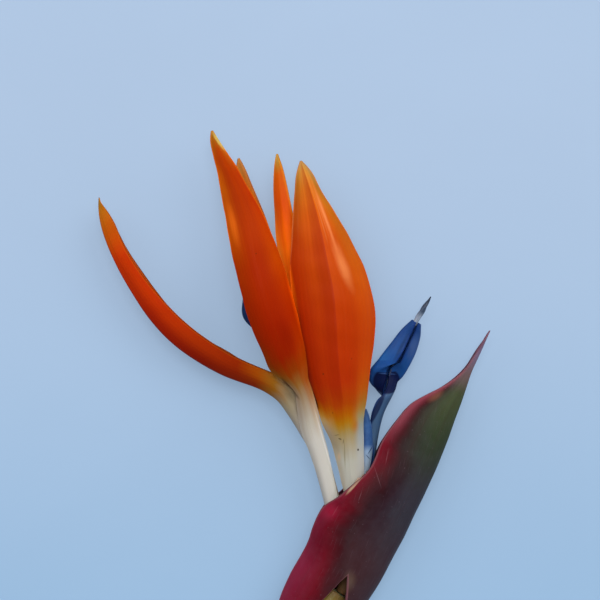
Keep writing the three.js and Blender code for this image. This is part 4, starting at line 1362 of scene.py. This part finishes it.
stalk = {
    "rows": [  # [x, y, z, radius]
        [12.6, -104.6, 10.6, 6.2], [8.2, -110.6, 10.6, 7.0], [-1.9, -130, 10.6, 7.3], [-6.8, -145, 9.6, 7.1],
        [-10.8, -162, 8.4, 7.0], [-13.7, -180, 7.4, 7.0], [-15.0, -201.6, 7.0, 7.0],
    ],
    "along": 200,
    "sides": 88,
    "cutRings": (3, 14),
    "ribs": 22,
    "ribHeight": 0.05,
    "ribWander": (2, 5),  # how far and how often they swing round the stem
    "uneven": 0.1,
    "inset": 0.12,  # so that the ribs stay inside the CAD radius
    "cutUneven": 0.12,
    "cutDome": 0.12,
    "cutFineness": 1.4,
    "rindStep": 0.22,
    "rindFrom": 0.95,
    "rindFall": 12,  # how fast the step falls
    "veinWaver": 0.02,
    "bands": [(0.0, "#74542c"), (0.04, "#7c6420"), (0.2, "#746c24"), (0.5, "#5f6834"), (1.0, "#5c6a3a")],
    "mottle": ("#7f8a55", 0.35),  # shade and strength
    "mottleSize": 10.0,
    "streaks": ("#46552c", 0.45, 0.8, 0.5),
    "flecks": (1.8, 0.3, 0.14),  # spacing, amount, radius
    "rubs": (2.2, 7.0, 0.02, 0.22),  # spacing, stretch, lean, amount
    "pale": "#a8ab7c",
    "paleShare": 0.35,
    "dry": ("#6e5230", 0.8),
    "dryFrom": (100.4, 103.6),
    "fraying": 2.0,  # how far the browning follows the veins, millimetres
    "roughness": (0.38, 0.55),
    "depths": (0.06, -0.04),  # veins, pale marks
    "pith": ("#d9d3a4", "#c6c088"),
    "pithMottle": 3.0,
    "bundles": ("#8f8a4e", 0.75),
    "bundleFlecks": (1.15, 0.85, 0.34),
    "heart": ("#5e4a2a", 0.8),
    "heartFlecks": (1.15, 0.85, 0.14),
    "cutRim": ("#7c8246", 0.84, 0.97, 1.0),  # shade, shares of the radius from and to, strength
    "cutRoughness": (0.4, 0.65),
    "cutDepths": (0.08, 0.05),  # bundles, mottle
}
stalkUneven = ripples(51, fineness=(2, 18))
cutUneven = ripples(52, waves=14, fineness=(9, 9))


def stalkProfile(turn, share, radius):
    swing, often = stalk["ribWander"]
    ribs = stalk["ribHeight"] * np.cos(stalk["ribs"] * turn + swing * np.sin(share * often))
    return radius - stalk["inset"] + ribs + stalk["uneven"] * stalkUneven(np.cos(turn) * 2, share)


def stalkCut(isFarEnd, inward, turns):
    if not isFarEnd:
        return plainCut(isFarEnd, inward, turns)
    reach = inward * stalk["cutFineness"]
    bumps = stalk["cutUneven"] * inward * cutUneven(reach * np.cos(turns), reach * np.sin(turns))
    rind = stalk["rindStep"] * eased((stalk["rindFrom"] - inward) * stalk["rindFall"])
    return bumps - rind + stalk["cutDome"] * (1 - inward)


def stalkFinish():
    material, tree, shader, facts, spot, vein, mottle = organFinish(
        "stalkRind", float(stalk["ribs"]), stalk["veinWaver"], stalk["mottleSize"], roughness=0.45,
        flesh=0.03, shine=0.2)
    mottleColour, mottleShare = stalk["mottle"]
    colour = ramp(tree, facts["along"], stalk["bands"])
    colour = tinted(tree, colour, mottleColour, mottle, mottleShare)
    colour = streaked(tree, colour, vein, stalk["streaks"])
    dots = fleckMask(tree, spot, *stalk["flecks"])
    marks = rubMask(tree, facts, *stalk["rubs"])
    pale = times(tree, calc(tree, "MAXIMUM", dots, marks), stalk["paleShare"])
    colour = tinted(tree, colour, stalk["pale"], pale)
    # the rind browns close to the cut
    frayed = plus(tree, facts["length"], times(tree, vein["Streaks"], stalk["fraying"]))
    dryColour, dryShare = stalk["dry"]
    colour = tinted(tree, colour, dryColour, between(tree, frayed, *stalk["dryFrom"]), dryShare)
    veinDepth, paleDepth = stalk["depths"]
    connect(tree, shader, colour, dulled(tree, mottle, *stalk["roughness"]),
            [(vein["Height"], veinDepth), (pale, paleDepth)])
    return material


def cutFinish():
    # pale wet pith with rings of vascular bundles
    material, tree, shader = newFinish("cutPith", roughness=0.5, flesh=0.15)
    facts = sheetFacts(tree)
    spot = inMillimetres(tree)
    mottle = useGroup(tree, blotches, vector=spot, size=stalk["pithMottle"])["Value"]
    bundleColour, bundleShare = stalk["bundles"]
    heartColour, heartShare = stalk["heart"]
    colour = mixed(tree, mottle, *stalk["pith"])
    bundles = fleckMask(tree, spot, *stalk["bundleFlecks"])
    colour = tinted(tree, colour, bundleColour, bundles, bundleShare)
    colour = tinted(tree, colour, heartColour, fleckMask(tree, spot, *stalk["heartFlecks"]), heartShare)
    colour = edged(tree, colour, facts, stalk["cutRim"])
    bundleDepth, mottleDepth = stalk["cutDepths"]
    connect(tree, shader, colour, dulled(tree, mottle, *stalk["cutRoughness"]),
            [(bundles, bundleDepth), (mottle, mottleDepth)])
    return material


print("stem and ovaries")
stem = makeRod("stemStalk", stalk["rows"], stalk["along"], stalk["sides"], stalkProfile, stalk["cutRings"],
               stalkCut)
place(stem, "stem", "stem", stalkFinish(), cutFinish())
partFacts = np.empty(len(stem.data.vertices) * 3, np.float32)
stem.data.attributes["part"].data.foreach_get("vector", partFacts)
onCut = partFacts.reshape(-1, 3)[:, 2] < 0.5  # by its skin
for face in stem.data.polygons:
    face.material_index = int(all(onCut[v] for v in face.vertices))

ovaries = {
    "rows": {
        "ovaryOlder": ("ovary_1", [[14.4, -80.9, 11.9, 2.7], [14.4, -87, 11.4, 3.5], [13.0, -94.5, 10.8, 3.1],
                                   [10.4, -101.4, 10.4, 2.1]]),
        "ovaryNewer": ("ovary_2", [[21.4, -77.9, 12, 3.4], [23.4, -85, 11.6, 4.0], [21.4, -94, 11.0, 3.4],
                                   [14.7, -105.5, 10.4, 2.2]]),
    },
    "along": 60,
    "sides": 48,
    "slimmer": 0.04,  # so that the lobes stay inside the CAD radius
    "lobes": (0.042, 0.015),  # three broad ones and nine fine ones
    "bands": [(0.0, "#d4ccb0"), (0.4, "#b8a880"), (0.75, "#78583c"), (1.0, "#6c4c2c")],
    "veins": (14.0, 0.05),
    "streaks": ("#6c5a38", 0.45, 0.8, 0.5),
    "mottle": ("#8c6c4c", 0.3),
    "mottleSize": 4.0,
    "roughness": (0.4, 0.55),
    "veinDepth": 0.06,
}


def ovaryProfile(turn, share, radius):
    broad, fine = ovaries["lobes"]
    lobes = broad * np.cos(3 * turn + 0.6) + fine * np.cos(9 * turn)
    return radius * (1 - ovaries["slimmer"] + lobes * np.sin(math.pi * share))


def ovaryFinish():
    material, tree, shader, facts, _, vein, mottle = organFinish(
        "ovaryGreen", *ovaries["veins"], ovaries["mottleSize"], roughness=0.45, flesh=0.1, shine=0.2)
    mottleColour, mottleShare = ovaries["mottle"]
    colour = ramp(tree, facts["along"], ovaries["bands"])
    colour = streaked(tree, colour, vein, ovaries["streaks"])
    colour = tinted(tree, colour, mottleColour, mottle, mottleShare)
    gloss = dulled(tree, mottle, *ovaries["roughness"])
    connect(tree, shader, colour, gloss, [(vein["Height"], ovaries["veinDepth"])])
    return material


ovaryGreen = ovaryFinish()
for name, (node, rows) in ovaries["rows"].items():
    place(makeRod(name, rows, ovaries["along"], ovaries["sides"], ovaryProfile), node, "ovary", ovaryGreen)


channel = {
    "depth": 1.9,
    "rowStep": 0.1,
    "style": 0.6,  # sideways from the middle of the channel
    "stamens": -0.56,
    "styleRadius": 0.42,
    "stamensRadius": 0.46,
    "stigma": [[43.6, -4.6, 10.8, 1.1], [45.2, -2.0, 11.4, 0.85], [47.1, 1.2, 12, 0.22]],
    "styleReach": 0.9,  # of the petal's length
    "styleTwist": 34,
    "lobeDepths": (0.05, 0.2),  # of the style's branches, and what the stigma adds
    "stigmaFrom": 0.86,
    "stamensTwist": 8,
    "stamensDepth": 0.1,
    "veins": (6.0, 0.6),
    "streaks": ("#2c3854", 0.45, 0.75, 0.45),
    "flecks": (0.5, 0.4, 0.3),  # spacing, amount, radius
    "pale": ("#d8d8d8", 0.12),
    "roughness": (0.2, 0.8, 0.35, 0.55),  # vein values from and to, roughness from and to
    "veinDepth": 0.05,
    "threads": [(0.0, "#c0c0b8"), (0.3, "#4c6684"), (0.6, "#1c2c50"), (1.0, "#141c3c")],
}
styles = {  # node, arrow petal, stigma, rings, sides, bands
    "styleOlder": ("style_1", olderArrow, [], 220, 18, [
        (0.0, "#c9c8c4"), (0.5, "#8f98ac"), (1.0, "#4d5f8c"),
    ]),
    "styleNewer": ("style_2", newerArrow, channel["stigma"], 260, 24, [
        (0.0, "#c9c8c4"), (0.3, "#3c5474"), (0.6, "#1c2c50"), (0.84, "#1c2c50"), (0.87, "#9ca6b4"),
        (0.9, "#808c9e"), (0.925, "#3a4a60"), (0.96, "#1e2e44"), (1.0, "#0e1e38"),
    ]),
}
stamens = {  # node, arrow petal, how far up it they reach, rings, sides
    "stamensOlder": ("stamens_1", olderArrow, 0.7, 160, 20),
    "stamensNewer": ("stamens_2", newerArrow, 0.6, 160, 20),
}


# rows of a rod inside an arrow petal's channel
def insideRows(rows, across, last, radius):
    at = curveThrough(rows)
    shares = np.arange(0, last + channel["rowStep"] / 2, channel["rowStep"])
    row = at(shares)
    _, outward, sideways = axesAlong(at, shares, row[:, 5])
    path = row[:, :3] - outward * channel["depth"] + sideways * across
    return [[*point, radius] for point in path.tolist()]


def threeLobes(turn, share, radius):
    # the style's three branches, twisted together and freer at the tip
    base, more = channel["lobeDepths"]
    deep = base + more * eased((share - channel["stigmaFrom"]) * 12)
    return radius * (1 - deep / 2 + deep / 2 * np.cos(3 * (turn + share * channel["styleTwist"])))


def fiveThreads(turn, share, radius):
    deep = channel["stamensDepth"]
    return radius * (1 - deep + deep * np.cos(5 * (turn + share * channel["stamensTwist"])))


def threadFinish(name, bands):
    material, tree, shader = newFinish(name, roughness=0.4, coat=0.2, coatRoughness=0.25, flesh=0.08)
    facts = sheetFacts(tree)
    spot = inMillimetres(tree)
    count, waver = channel["veins"]
    vein = useGroup(tree, veins, across=facts["across"], length=facts["length"], count=count, waver=waver)
    paleColour, paleShare = channel["pale"]
    colour = ramp(tree, facts["along"], bands)
    colour = streaked(tree, colour, vein, channel["streaks"])
    colour = tinted(tree, colour, paleColour, fleckMask(tree, spot, *channel["flecks"]), paleShare)
    gloss = between(tree, vein["Streaks"], *channel["roughness"])
    connect(tree, shader, colour, gloss, [(vein["Height"], channel["veinDepth"])])
    return material


print("styles and stamens")
for name, (node, arrow, stigma, along, sides, bands) in styles.items():
    rows = insideRows(arrow["rows"], channel["style"], channel["styleReach"], channel["styleRadius"])
    rod = makeRod(name, rows + stigma, along, sides, threeLobes)
    place(rod, node, "style", threadFinish(name + "Thread", bands))
for name, (node, arrow, last, along, sides) in stamens.items():
    rows = insideRows(arrow["rows"], channel["stamens"], last, channel["stamensRadius"])
    rod = makeRod(name, rows, along, sides, fiveThreads)
    place(rod, node, "stamens", threadFinish(name + "Threads", channel["threads"]))


studio = {
    # the floor darkens towards the front: painted shade, where less light falls
    "floor": [(-160, "#6688a4"), (-60, "#7e9ab5"), (150, "#8d9fb5")],  # from front to back, millimetres
    "floorMottle": ("#a9bdd6", 0.06),
    "floorMottleSize": 160.0,
    "floorDimmed": 0.3,  # the lamps see a darker floor, and its own glow makes up for it
    "floorGlow": 0.78,  # a lit table top, so that the shadows stay light
    "floorSize": 6.0,
    "sky": (0.86, 0.92, 1.0, 1.0),
    "skyStrength": 0.42,
    "cameraAbove": 0.912,
    "lens": 150.0,
    "sensor": 36.0,
    "aim": (0.0, 0.03, 0.0),
    "lights": {  # where, across, power, tint
        "rightSoft": ((0.8, 0.75, 0.85), 1.1, 8.2, (1.0, 0.98, 0.95)),
        "leftSoft": ((-0.8, 0.7, 0.85), 1.1, 5.0, (0.97, 0.98, 1.0)),
        "topSoft": ((0.05, 0.45, 1.5), 0.9, 10.0, (1.0, 1.0, 1.0)),
    },
}


def makeFloor():
    mesh = bpy.data.meshes.new("studioFloor")
    half = studio["floorSize"] / 2
    corners = [(-half, -half, 0), (half, -half, 0), (half, half, 0), (-half, half, 0)]
    mesh.from_pydata(corners, [], [(0, 1, 2, 3)])
    floor = bpy.data.objects.new("studioFloor", mesh)
    bpy.context.scene.collection.objects.link(floor)
    material, tree, shader = newFinish("paleFloor", roughness=0.75, shine=0.15)
    spot = inMillimetres(tree)
    soft = useGroup(tree, blotches, vector=spot, size=studio["floorMottleSize"])["Value"]
    first, last = studio["floor"][0][0], studio["floor"][-1][0]
    back = between(tree, put(tree, "SeparateXYZ", {0: spot}).outputs[1], first, last)
    colour = ramp(tree, back, [((at - first) / (last - first), shade) for at, shade in studio["floor"]])
    mottleColour, mottleShare = studio["floorMottle"]
    colour = tinted(tree, colour, mottleColour, soft, mottleShare)
    connect(tree, shader, mixed(tree, studio["floorDimmed"], colour, "#000000"))
    tree.links.new(colour, shader.inputs["Emission Color"])
    shader.inputs["Emission Strength"].default_value = studio["floorGlow"]
    mesh.materials.append(material)


def addLight(name, spot, size, power, tint):
    data = bpy.data.lights.new(name, "AREA")
    data.shape = "DISK"
    data.size = size
    data.energy = power
    data.color = tint
    lamp = bpy.data.objects.new(name, data)
    bpy.context.scene.collection.objects.link(lamp)
    lamp.location = spot
    direction = np.array(studio["aim"]) - np.array(spot)
    lamp.rotation_mode = "QUATERNION"
    lamp.rotation_quaternion = Vector(direction).to_track_quat("-Z", "Y")


makeFloor()
for name, settings in studio["lights"].items():
    addLight(name, *settings)

world = bpy.data.worlds.new("studioSky")
world.use_nodes = True
background = world.node_tree.nodes["Background"]
background.inputs[0].default_value = studio["sky"]
background.inputs[1].default_value = studio["skyStrength"]
bpy.context.scene.world = world
bpy.context.scene.view_settings.view_transform = "Standard"

cameraData = bpy.data.cameras.new("camera")
cameraData.lens = studio["lens"]
cameraData.sensor_width = studio["sensor"]
camera = bpy.data.objects.new("camera", cameraData)
bpy.context.scene.collection.objects.link(camera)
camera.location = (middle[0] * mm, middle[1] * mm, studio["cameraAbove"])  # straight above the flower
bpy.context.scene.camera = camera
print("studio ready")
